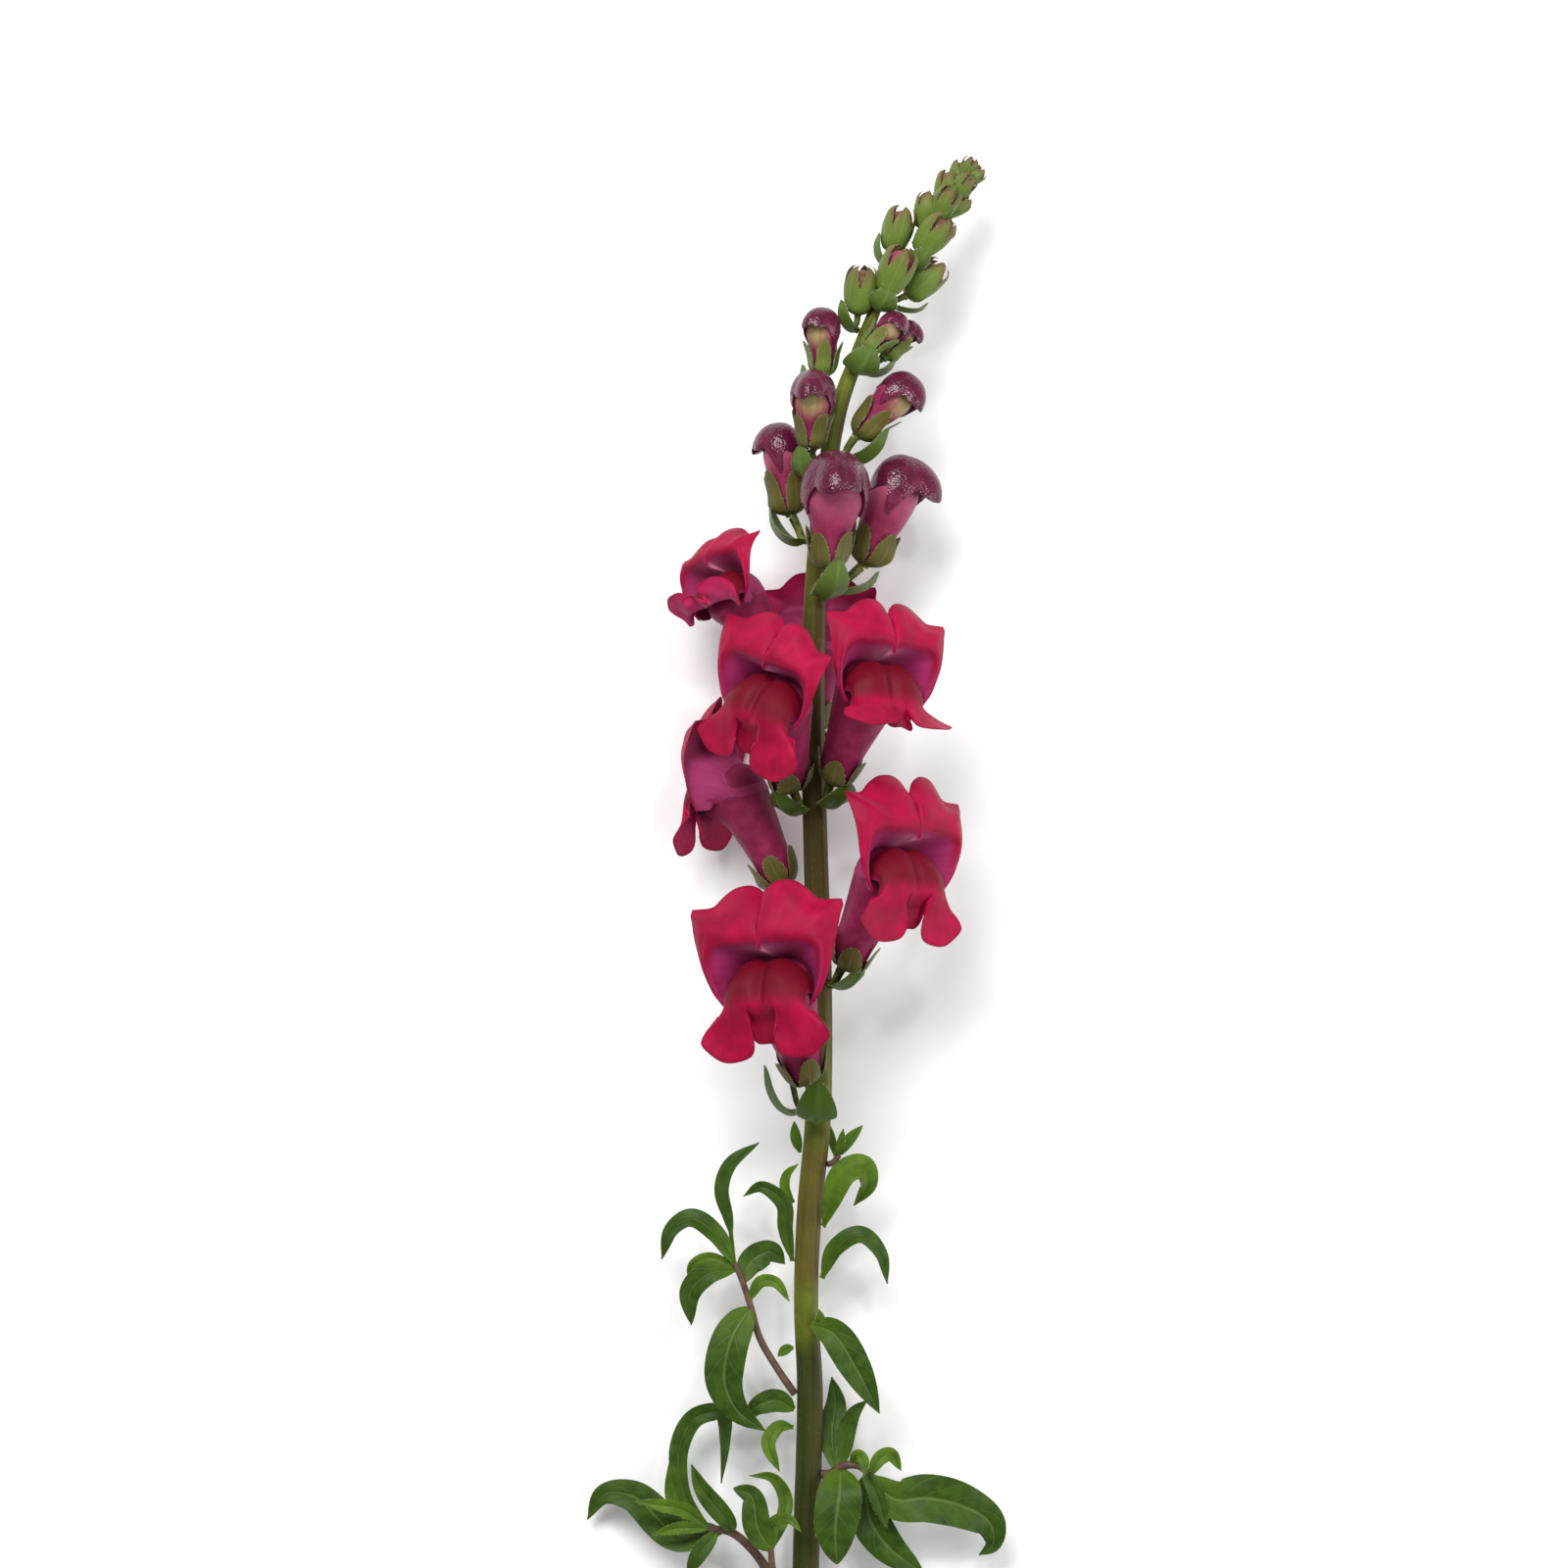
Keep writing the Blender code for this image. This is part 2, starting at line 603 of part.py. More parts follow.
def stalk_and_bract(spec, form, sunk=-CUP_CLEARANCE - 0.1):
    """The stalk from the stem to a flower's base, which it enters by so much, and the bract."""
    place, frame, radius = stem_frame(spec["node"], spec["azimuth"])
    _, axes = placed(spec, closed_form(form, spec["size"]))
    heel = spec_base(spec) + sunk * (axes_of(form)[0] @ axes)
    start = place + (radius + SEAT) * frame[2]
    middle = start * 0.45 + heel * 0.55 - 0.8 * frame[1]
    thick = 0.8 if form is SMALL_BUD else 1.1 * min(1, 0.45 + 0.6 * spec["size"])
    stalk_points = [
        (*start, thick * 1.1),
        (*(start + 1.2 * frame[2] + 0.1 * frame[1]), thick),
        (*middle, thick),
        (*heel, thick * 1.15),
    ]
    return [stalk(stalk_points, 5, 3), bract_piece(spec)]


def bract_piece(spec):
    """The small leaf under a flower's stalk."""
    place, frame, radius = stem_frame(spec["node"], spec.get("bract_azimuth", spec["azimuth"]))
    length, width = spec.get("bract", (11.0, 3.8))
    spread = spec.get("bract_spread", 1.0)
    steps = ((-0.03, 0.0), (-0.14, 0.3), (-0.02, 0.66), (0.3, 0.94), (0.78, 1.06))
    points = [
        place + (radius + SEAT + out * length * spread) * frame[2] + (up * length * (2 - spread)) * frame[1]
        for up, out in steps
    ]
    return blade(points, width, rows=4, face=tuple(frame[1] * 0.9 - frame[2] * 0.3),
                 face_tip=tuple(frame[1] * 0.3 - frame[2] * 0.9), fold=0.32, shape=(0.5, 0.6))


def at_rows(surface, rows):
    """A lip's surface with its even rows moved to the given shares."""
    even = np.linspace(0, 1, len(rows))
    return lambda u, v: surface(u, np.interp(v, even, rows))


def bloom_pieces(spec):
    flower = Flower(spec["size"], **spec.get("form", {}))
    return [
        grid_surface(placed(spec, flower.tube)[0], 8, 8),
        grid_surface(placed(spec, at_rows(flower.upper_lip, UPPER_ROWS))[0], 16, 5, BLADE),
        grid_surface(placed(spec, at_rows(flower.lower_lip, LOWER_ROWS))[0], 18, 5, BLADE),
    ]


def closed_form(form, size):
    def surface(u, v):
        return form_point(form, v * form["stations"][-1], 2 * math.pi * u) * size

    return surface


def bud_pieces(spec):
    around = 12 if spec["size"] < 0.6 else 16
    return [
        grid_surface(placed(spec, closed_form(BIG_BUD, spec["size"]))[0], 8, 8),
        grid_surface(placed(spec, hood_surface(BIG_BUD, spec["size"], spec.get("fold", 1.0)))[0], around, 7),
    ]


def pod_surface(size, sepal=1.0):
    """A young bud that its five sepals still wrap up, with their points free at its top."""
    def surface(u, v):
        turn = 2 * math.pi * u
        ridge = np.abs(np.cos(SEPALS / 2 * turn))
        station = v * (1 + 0.16 * ridge * np.clip((v - 0.6) / 0.4, 0, 1) * (v < 0.999))
        free = np.clip((v - 0.6) / 0.3, 0, 1) * (v < 0.999)
        grow = 0.35 * ridge * np.sin(math.pi * np.clip(v, 0, 1)) + 0.3 * free
        return form_point(SMALL_BUD, station, turn, grow * sepal) * size

    return surface


# Open blooms: the joint's y on the stem, the azimuths of the stalk and of the face, and the flower's form
BLOOMS = {
    "a_front_low": dict(node=-84.0, azimuth=-20, faces=-22, size=1.0, base=(9.5, 5.0), roll=8,
                        form=dict(skew=0.04), bract=(13.0, 5.2), bract_azimuth=-2),
    "b_right_low": dict(node=-51.0, azimuth=52, faces=40, size=0.96, base=(5.0, 4.5), roll=-8,
                        bract=(8.5, 4.4), bract_spread=1.15,
                        form=dict(phase=1.2, upper_back=14.0)),
    "c_left_low": dict(node=-30.8, azimuth=-102, faces=-116, size=0.93, base=(5.0, 5.0), pitch=-3,
                       bract=(8.5, 4.4), bract_spread=1.15,
                       form=dict(phase=2.1)),
    "d_left_mid": dict(node=-6.5, azimuth=-46, faces=-36, size=0.92, base=(6.0, 4.4), roll=-16,
                       bract=(8.5, 4.4), bract_spread=1.15,
                       form=dict(upper=0.85, droop=0.95, phase=0.5)),
    "e_right_mid": dict(node=-5.0, azimuth=40, faces=30, size=0.94, base=(6.0, 4.0), roll=-9,
                        bract=(8.5, 4.4), bract_spread=1.15,
                        form=dict(upper=0.85, lower=0.85, droop=0.3, phase=2.8)),
    "f_left_top": dict(node=21.0, azimuth=-108, faces=-48, size=0.82, base=(6.0, 4.5), roll=10, pitch=-8,
                       form=dict(upper=0.78, lower=0.8, droop=-0.25, phase=1.7)),
    "g_back_mid": dict(node=8.0, azimuth=180, faces=168, size=0.78, base=(6.0, 4.0), pitch=-4,
                       form=dict(upper=0.9, phase=0.9)),
}
BUDS = {
    "k_front": dict(node=48.5, azimuth=22, faces=8, size=1.06, base=(6.5, 4.5), pitch=-4, sepal=0.32,
                    bract=(11.0, 4.4)),
    "l_right": dict(node=50.0, azimuth=98, faces=78, size=1.04, base=(7.0, 9.0), roll=-6, sepal=0.3,
                    bract=(9.5, 4.4), bract_spread=1.3),
    "m_left": dict(node=62.0, azimuth=-104, faces=-88, size=0.82, base=(6.5, 4.8), pitch=-6,
                   bract=(10.0, 4.4)),
    "n_front_left": dict(node=77.4, azimuth=-38, faces=-8, size=0.71, base=(7.2, 5.0), roll=3,
                         bract=(9.0, 3.4)),
    "o_right": dict(node=84.0, azimuth=75, faces=62, size=0.73, base=(6.0, 4.0), pitch=12, roll=-16,
                    bract=(11.0, 4.6)),
    "p_left": dict(node=97.0, azimuth=-85, faces=-34, size=0.6, base=(6.0, 3.9), roll=7, sepal=0.42,
                   bract=(9.0, 4.2)),
    "q_front_right": dict(node=105.5, azimuth=15, faces=35, size=0.46, base=(5.5, 3.5), roll=-20,
                          sepal=0.46,
                          bract=(8.0, 3.9)),
    "r_right": dict(node=107.0, azimuth=98, faces=80, size=0.42, base=(5.0, 4.5), roll=-12, sepal=0.48,
                    bract=(7.0, 3.4)),
}
GREEN_BUDS = {
    "h_left": dict(node=-83.0, azimuth=-80, faces=-80, size=0.45, base=(17.0, 7.5), bract=(12.0, 3.2),
                   bract_spread=0.85),
    "s_left": dict(node=115.0, azimuth=-70, faces=-40, size=0.88, base=(3.6, 2.2), bract=(7.0, 3.4)),
    "t_front": dict(node=121.5, azimuth=10, faces=5, size=0.92, base=(3.6, 3.4), bract=(6.6, 3.2)),
    "u_right": dict(node=124.5, azimuth=100, faces=88, size=0.88, base=(3.4, 4.6), roll=-8,
                    bract=(7.5, 1.9), bract_spread=1.25),
    "v_left": dict(node=131.5, azimuth=-84, faces=-60, size=0.84, base=(3.0, 2.4), bract=(7.0, 2.6)),
    "w_front": dict(node=134.0, azimuth=30, faces=20, size=0.84, base=(3.0, 3.0), bract=(6.5, 2.6)),
}
# Buds at the stem's tip: y, azimuth and size
TIP_BUDS = ((139.2, 105, 0.6), (141.5, -80, 0.6), (144.8, 0, 0.58), (146.4, 110, 0.54), (148.4, -65, 0.52),
            (150.6, 30, 0.48), (153.2, -120, 0.42), (154.4, 85, 0.4), (156.0, -20, 0.34))
TIP_START = 137.0

# Leaves: points of the midrib from base to tip, and half of the greatest width
LEAVES = {
    "leaf_right_loop": [
        ([(10.2, -113.5, 18.7), (12.2, -107, 21.7), (15.6, -99.5, 23.7), (19.8, -98, 22.2),
          (21.6, -102.5, 18.7), (18.0, -108.5, 14.7)],
         3.4, dict(face=(-0.6, 0.2, 0.8), face_tip=(0.5, 0.3, 0.8), fold=0.3))],
    "leaf_left_tip": [([(4.1, -94.5, 18.8), (3.0, -90.5, 19.4), (2.6, -86.5, 19.6)], 1.4, dict())],
    "leaf_left_small_high": [([(2.4, -107.5, 17.7), (0.2, -103.5, 18.7), (0.8, -100, 19.7),
                               (3.6, -97.4, 20.7)], 1.3, dict())],
    "leaf_left_arch": [
        ([(2.2, -122.5, 17.2), (0.6, -114, 19.7), (0.2, -107.5, 21.2), (-5.6, -103.2, 20.7),
          (-10.4, -105.8, 17.7)],
         2.3, dict(face=(-0.5, 0, 1), fold=0.3))],
    "leaf_right_curl": [
        ([(9.8, -127, 16.2), (13, -119.5, 18.7), (19.5, -115.8, 20.2), (24.6, -120.5, 18.7),
          (26.6, -128.5, 15.7)],
         2.6, dict(face=(0.2, 0.6, 0.8), fold=0.3))],
    "leaf_right_front": [
        ([(7.0, -138.5, 19.7), (12.5, -140.5, 22.7), (18, -148.5, 24.2), (24.4, -161, 22.7)],
         4.3, dict(wave=0.12, waves=1.5, shape=(0.6, 0.9))),
        ([(8.2, -138.3, 19.6), (9.3, -137.2, 21.5), (9.0, -134.5, 22.3)], 1.2, dict())],
    "leaf_left_broad": [
        ([(2.6, -161, 13.8), (-2.2, -158.6, 15), (-7, -160.2, 15.5), (-9.2, -163.6, 14.5)], 3.0,
         dict(shape=(0.6, 0.8)))],
    "leaf_left_tiny": [([(2.4, -145, 15.5), (0.6, -145.3, 16), (-1.6, -147.2, 15.5)], 1.3, dict())],
    "leaf_left_droop": [
        ([(2.3, -165.6, 14), (-1.4, -165.2, 16.5), (-4, -169, 17.5), (-1.2, -176.5, 18.5)], 1.9,
         dict(fold=0.3))],
}
# Leafy shoots: a stalk's points with radii, then leaves as above
SHOOTS = {
    "shoot_top_tuft": dict(
        stalk=[(11.1, -97.5, 19.5, 0.8), (12.4, -97.2, 19.0, 0.8), (14.2, -95.2, 18.6, 0.7)],
        leaves=[
            ([(13.6, -95.6, 18.6), (16.5, -91.5, 19.5), (20.2, -87.6, 19)], 1.5, dict()),
            ([(13.2, -95.6, 18.4), (12.4, -91.5, 18.2), (11.8, -87.6, 17.6)], 1.0, dict()),
            ([(13.8, -95.6, 18.8), (14.6, -91.8, 20.4), (15.2, -88.4, 21)], 1.1, dict())]),
    "shoot_left": dict(
        stalk=[(2.7, -157, 14.4, 1.0), (-1.2, -151.2, 15.6, 0.95), (-6.2, -142.5, 17, 0.9),
               (-8.7, -133.7, 18.5, 0.85),
               (-11.2, -126.2, 19.5, 0.8), (-13, -122.5, 20, 0.7)],
        leaves=[
            ([(-12.7, -123, 20), (-14, -111.5, 20.5), (-15.6, -103.7, 21.5), (-13.4, -97.2, 22.5),
              (-6.4, -91.8, 22)],
             2.3, dict(face=(-0.6, 0, 0.8), fold=0.3, petiole=0.2)),
            ([(-12.8, -123, 20), (-17.5, -115.5, 21.5), (-23.7, -111.4, 22), (-28.7, -114.4, 20.5),
              (-31.4, -122, 18)],
             2.8, dict(face=(0, 0.6, 0.8), fold=0.3)),
            ([(-12.4, -123.4, 19.5), (-19.5, -121.5, 19), (-23.5, -123.6, 18), (-24.2, -129, 16)], 1.4,
             dict()),
            ([(-12.1, -124.4, 19.6), (-19.5, -125.6, 21), (-24.0, -130, 20), (-23.8, -139, 17)],
             3.0, dict(face=(0.2, 0.3, 0.9), fold=0.25, wave=0.1)),
            ([(-10.6, -128, 19.2), (-8.5, -122.8, 18), (-3.5, -120.2, 17), (0.2, -123.4, 15.5)], 3.5,
             dict(wave=0.12)),
            ([(-9, -132.6, 18.7), (-5.8, -127.4, 21), (-2.2, -127.6, 21.5), (1.4, -132.4, 22.5)], 1.6,
             dict()),
            ([(-8.8, -134.5, 18.6), (-13.6, -142.5, 21.5), (-15.2, -153, 21.5), (-12, -160.5, 20),
              (-4.8, -166.2, 17.5)],
             5.2, dict(face=(-0.2, 0, 1), fold=0.15, wave=0.12, waves=2, shape=(0.5, 0.9)))]),
    "shoot_right": dict(
        stalk=[(9.8, -178, 12.2, 1.2), (12, -177.8, 12.8, 1.2), (15.4, -175.4, 14.5, 1.1),
               (19.5, -175.5, 15, 1.0),
               (22.6, -178.5, 15.4, 0.9)],
        leaves=[
            ([(13.2, -176.8, 13.8), (12.4, -167.5, 9.5), (13.4, -160, 7), (12.4, -153.6, 6)], 3.4,
             dict(wave=0.1)),
            ([(15.2, -175.2, 14.5), (16.2, -166, 15), (18.2, -161.5, 15.5), (21.4, -158.6, 15)], 2.4,
             dict(fold=0.3)),
            ([(17.5, -175.4, 14.8), (19, -172.4, 18), (20.4, -173.5, 19), (20.6, -177.5, 20)], 1.6, dict()),
            ([(14.6, -176.2, 14.3), (14.2, -182.5, 19.5), (13.2, -191, 20), (13.6, -200.5, 17)],
             6.0, dict(fold=0.1, wave=0.1, waves=2, shape=(0.55, 0.75))),
            ([(20.4, -176, 15.2), (23.6, -182, 17.2), (26.4, -191.4, 16)], 2.1, dict(fold=0.3)),
            ([(22, -178, 15.4), (24.8, -173.4, 15), (27.4, -172.6, 14), (30.2, -177, 12.5)], 1.9,
             dict(fold=0.3)),
            ([(22.3, -178.4, 15.4), (28.5, -184, 15.5), (37, -183.8, 15), (46, -186, 14),
              (53, -190.5, 11.5),
              (54, -196.5, 9), (50.5, -199.5, 7.5)],
             6.2, dict(face=(0, 0.15, 1), fold=0.15, wave=0.1, waves=3, shape=(0.6, 0.9), rows=9)),
            ([(21.4, -177.4, 15.2), (22, -189, 11), (27, -197, 10.5), (36, -204, 8)],
             5.0, dict(fold=0.15, wave=0.1, shape=(0.6, 0.8)))]),
    "shoot_left_low": dict(
        stalk=[(1.6, -210.5, 8.4, 1.3), (-0.6, -209.6, 9, 1.3), (-3.5, -204.5, 10, 1.25),
               (-8.2, -197.5, 12, 1.15), (-13.5, -193, 13, 1.05),
               (-19.8, -191.6, 13.5, 0.9)],
        leaves=[
            ([(-19.4, -191.7, 13.5), (-25.4, -183.5, 11), (-27, -172, 10), (-23, -163.6, 10.5),
              (-16.2, -162.4, 11.5),
              (-15.4, -169, 12), (-16.2, -180.5, 11)], 2.6, dict(face=(-0.7, 0.2, 0.7),
                                                                 face_tip=(0.7, 0, 0.7), fold=0.3, rows=9)),
            ([(-19.2, -191.7, 13.3), (-28.5, -186, 6), (-29, -178, 5), (-27.5, -170.7, 5)], 1.8, dict()),
            ([(-13.6, -193, 13), (-14.4, -189.6, 17), (-21, -181, 18), (-23.8, -174.8, 17.5)], 2.6,
             dict(fold=0.3)),
            ([(-16, -192.4, 13.2), (-27.5, -194, 9), (-39, -184.4, 7.5), (-46.6, -184, 6.5),
              (-51, -190.8, 4)],
             4.8, dict(face=(0, 0.3, 1), fold=0.2, shape=(0.6, 0.9), rows=8)),
            ([(-19, -191.7, 13.6), (-26, -186.6, 15.5), (-32, -185.4, 16), (-38.4, -184.6, 15)], 1.9,
             dict(fold=0.3)),
            ([(-19, -191.8, 13.6), (-27, -191.4, 15), (-34, -193.4, 14)], 1.6, dict(fold=0.3)),
            ([(-17, -192.2, 13.2), (-21.5, -197.5, 15), (-25, -204, 13)], 2.2, dict(fold=0.3))]),
    "shoot_left_low_inner": dict(
        stalk=[(1.4, -215.5, 7.4, 1.0), (0.2, -215, 8.6, 1.0), (-1.4, -210, 13, 0.95),
               (-3, -202, 15.5, 0.9), (-3.4, -196.5, 16, 0.8)],
        leaves=[
            ([(-3.3, -197, 16), (-6.8, -190.6, 19), (-8.4, -182.6, 19.5), (-13, -180.8, 18)],
             3.6, dict(fold=0.15, wave=0.1, shape=(0.5, 0.7))),
            ([(-3.4, -197.5, 16), (-2.4, -189.5, 18.5), (1.2, -188.4, 20), (4.4, -191.5, 21.5)], 1.7,
             dict()),
            ([(-3.4, -197.3, 15.8), (0.4, -185, 10), (-3, -179.2, 10), (-9, -178.8, 9)], 1.9, dict())]),
    "leaves_near_cut": dict(
        stalk=[(9.3, -213.5, 8.2, 1.0), (11.0, -213.2, 8.8, 0.9), (13.5, -210.5, 10, 0.8)],
        leaves=[
            ([(12, -212, 9.7), (18.4, -210.5, 9), (25.5, -212.6, 6.5), (31, -219.5, 3)], 3.4,
             dict(fold=0.2, wave=0.1)),
            ([(13, -211, 10), (12.6, -207, 12.5), (9.6, -204.6, 17), (6.4, -206.6, 18)], 1.6, dict())]),
}


def leaf_pieces(leaves):
    made = []
    for points, width, looks in leaves:
        made.append(blade(points, width, **{"rows": 6 if width > 1.7 else 4, **looks}))
    return made


def tip_pieces():
    """The crowded green buds at the stem's tip on the last stretch of its axis."""
    core = [tuple(point) for point in STEM[STEM[:, 1] > TIP_START + SEAT][::8]]
    made = [stalk(core, 5, 4)]
    for y, azimuth, size in TIP_BUDS:
        place, frame, radius = stem_frame(y, azimuth)
        base = place + (radius * 0.5) * frame[2]
        moved, _ = posed(closed_form(SMALL_BUD, size), frame, base, 6)
        made.append(grid_surface(moved, 6, 4))
        if azimuth < 0:
            continue
        reach = size * 14
        points = [
            base + (radius * 0.2) * frame[2],
            base + 0.42 * reach * frame[2] + 0.2 * reach * frame[1],
            base + 0.62 * reach * frame[2] + 0.66 * reach * frame[1],
            base + 0.5 * reach * frame[2] + 1.14 * reach * frame[1],
        ]
        inward = tuple(-frame[2])
        made.append(blade(points, 2.9 * size + 0.8, rows=3, face=inward, fold=0.3, shape=(0.6, 0.8)))
    return made


def build():
    clear_scene()
    looks = {
        "stem": material("stem_green", STEM_GREEN, 0.5),
        "leaf": material("leaf_green", LEAF_GREEN, 0.5),
        "bract": material("bract_green", BRACT_GREEN, 0.55),
        "bloom": material("bloom_crimson", BLOOM_CRIMSON, 0.6),
        "bud": material("bud_plum", BUD_PLUM, 0.35),
    }
    collection = bpy.data.collections.new("snapdragon_stem")
    bpy.context.scene.collection.children.link(collection)
    stem_points = [point for point in STEM_LINE if point[1] < TIP_START]
    stem_points.append(tuple(STEM[STEM[:, 1] < TIP_START][-1]))
    nodes = [("main_stem", [stalk(stem_points, STEM_SIDES, STEM_ROWS)], "stem")]
    for name, spec in BLOOMS.items():
        nodes.append((f"bloom_{name}_corolla", bloom_pieces(spec), "bloom"))
        nodes.append((f"bloom_{name}_calyx", green_pieces(spec, TUBE, 0.28), "bract"))
    for name, spec in BUDS.items():
        nodes.append((f"bud_{name}_corolla", bud_pieces(spec), "bud"))
        nodes.append((f"bud_{name}_calyx", green_pieces(spec, BIG_BUD, 0.34), "bract"))
    for name, spec in GREEN_BUDS.items():
        pod = grid_surface(placed(spec, pod_surface(spec["size"]))[0], 10, 5)
        nodes.append((f"bud_{name}", [pod] + stalk_and_bract(spec, SMALL_BUD, 1.2), "bract"))
    nodes.append(("buds_tip", tip_pieces(), "bract"))
    for name, leaves in LEAVES.items():
        nodes.append((name, leaf_pieces(leaves), "leaf"))
    for name, shoot in SHOOTS.items():
        nodes.append((name, [stalk(shoot["stalk"], 5, 5)] + leaf_pieces(shoot["leaves"]), "leaf"))
    for name, pieces, look in nodes:
        finish_node(name, pieces, looks[look], collection)


build()
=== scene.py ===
"""Looks of the cut snapdragon stem: velvety two-lipped blooms, glossy buds, veined leaves and the pale floor.

Every piece is built from the same drawing as its solid, in millimetres, with finer meshes, and stands for that
solid. The file is laid out as an add-on and is run as a script.
"""

import math

import bpy
import numpy as np
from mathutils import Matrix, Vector


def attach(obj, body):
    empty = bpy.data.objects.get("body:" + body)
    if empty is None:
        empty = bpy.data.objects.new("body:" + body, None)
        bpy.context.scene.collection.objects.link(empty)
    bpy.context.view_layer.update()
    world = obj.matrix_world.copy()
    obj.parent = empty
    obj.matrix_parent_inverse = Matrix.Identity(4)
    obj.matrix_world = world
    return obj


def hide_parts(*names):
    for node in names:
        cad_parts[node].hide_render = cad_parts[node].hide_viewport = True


bl_info = {
    "name": "Snapdragon stem",
    "version": (1, 0, 0),
    "blender": (4, 5, 0),
    "location": "View3D > Sidebar > Snapdragon",
    "description": "Builds a cut snapdragon stem piece by piece",
    "category": "Add Mesh",
}

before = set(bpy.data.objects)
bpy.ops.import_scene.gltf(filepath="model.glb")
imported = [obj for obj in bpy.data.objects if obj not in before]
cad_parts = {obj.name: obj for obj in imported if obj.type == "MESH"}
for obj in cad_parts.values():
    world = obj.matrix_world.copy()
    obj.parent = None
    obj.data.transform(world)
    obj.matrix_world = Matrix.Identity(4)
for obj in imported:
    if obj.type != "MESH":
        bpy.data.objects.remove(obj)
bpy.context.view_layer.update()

MM = 0.001
FRAME_SHIFT = np.array([2.98, -42.9, 0.0])  # middle of the stem's outline in the drawing that the places below use
REST = 0.4  # height of the middle of a blade that is pressed flat on the surface
PRESS_SOFTNESS = 0.9  # how far above that a blade begins to be held up
SEAT = 0.35  # clearance between a piece and the piece that it grows from
CUP_CLEARANCE = 0.85  # from a corolla's surface to a sepal

# Middle line of the main stem from the cut end to the tip: x, y, height and radius
STEM_LINE = (
    (5.0, -245.0, 3.36, 3.4),
    (5.6, -200.0, 9.6, 3.4),
    (6.6, -156.0, 14.2, 3.3),
    (5.6, -134.0, 16.2, 3.1),
    (6.4, -110.0, 18.2, 3.2),
    (8.6, -86.0, 20.2, 3.3),
    (9.0, -52.0, 22.8, 3.2),
    (8.1, -20.0, 24.8, 3.1),
    (7.3, 17.0, 26.4, 3.0),
    (7.8, 46.0, 27.0, 2.8),
    (10.2, 75.0, 26.6, 2.55),
    (14.0, 96.0, 25.8, 2.2),
    (18.2, 108.0, 25.0, 1.95),
    (21.2, 116.0, 24.4, 1.75),
    (25.0, 125.0, 23.6, 1.4),
    (29.5, 132.5, 22.8, 1.2),
    (36.0, 141.5, 21.6, 0.95),
    (41.3, 149.0, 20.6, 0.75),
    (46.0, 155.5, 19.6, 0.5),
)


# Curves and surfaces, all in millimetres of the drawing


def unit(vectors):
    """Vectors of length 1."""
    vectors = np.asarray(vectors, float)
    return vectors / np.maximum(np.linalg.norm(vectors, axis=-1, keepdims=True), 1e-9)


def eased(s, span, start, start_slope, end, end_slope):
    """Places at shares s of a smooth step, span long, from start to end, with these slopes at its ends."""
    return (
        (2 * s**3 - 3 * s**2 + 1) * start
        + (s**3 - 2 * s**2 + s) * span * start_slope
        + (3 * s**2 - 2 * s**3) * end
        + (s**3 - s**2) * span * end_slope
    )


def smooth_line(points, count=96):
    """Points spaced along a smooth curve through the given ones."""
    points = np.asarray(points, float)
    chord = np.linalg.norm(np.diff(points, axis=0), axis=1)
    knots = np.concatenate([[0], np.cumsum(np.sqrt(chord))])
    slopes = np.gradient(points, knots, axis=0)
    at = np.linspace(0, knots[-1], count)
    i = np.clip(np.searchsorted(knots, at, side="right") - 1, 0, len(knots) - 2)
    span = (knots[i + 1] - knots[i])[:, None]
    curve = eased((at - knots[i])[:, None] / span, span, points[i], slopes[i], points[i + 1], slopes[i + 1])
    run = np.concatenate([[0], np.cumsum(np.linalg.norm(np.diff(curve, axis=0), axis=1))])
    even = np.linspace(0, run[-1], count)
    return np.stack([np.interp(even, run, curve[:, k]) for k in range(curve.shape[1])], axis=1)


def along(line, u):
    """The places at shares u of a line's length."""
    shares = np.linspace(0, 1, len(line))
    return np.stack([np.interp(u, shares, line[:, k]) for k in range(line.shape[1])], axis=-1)


def through(points, knots, v):
    """Places at v on smooth curves, one for each row, that pass each of the points at its knot."""
    knots = np.asarray(knots, float)
    points = np.stack(points)
    gaps = np.diff(knots)
    steps = (points[1:] - points[:-1]) / gaps[:, None, None]
    slopes = np.empty_like(points)
    slopes[0] = steps[0]
    slopes[-1] = steps[-1]
    for k in range(1, len(knots) - 1):
        slopes[k] = (steps[k - 1] * gaps[k] + steps[k] * gaps[k - 1]) / (gaps[k] + gaps[k - 1])
    i = np.clip(np.searchsorted(knots, v, side="right") - 1, 0, len(knots) - 2)
    span = gaps[i][:, None]
    s = (v - knots[i])[:, None] / span
    row = np.arange(points.shape[1])
    return eased(s, span, points[i, row], slopes[i, row], points[i + 1, row], slopes[i + 1, row])


def pressed(points):
    """Points of a blade's middle surface, none of them lower than a blade that lies flat on the surface."""
    points = np.array(points, float)
    over = points[:, 2] - REST
    blend = np.clip(over + PRESS_SOFTNESS, 0, 2 * PRESS_SOFTNESS) ** 2 / (4 * PRESS_SOFTNESS)
    points[:, 2] = REST + np.where(over > PRESS_SOFTNESS, over, blend)
    return points


STEM = smooth_line(STEM_LINE, 400)


def stem_at(y):
    """The stem's middle point, its direction and its radius where it passes y."""
    place = np.array([np.interp(y, STEM[:, 1], STEM[:, k]) for k in range(4)])
    ahead = np.array([np.interp(y + 2, STEM[:, 1], STEM[:, k]) for k in range(3)])
    behind = np.array([np.interp(y - 2, STEM[:, 1], STEM[:, k]) for k in range(3)])
    return place[:3], unit(ahead - behind), place[3]


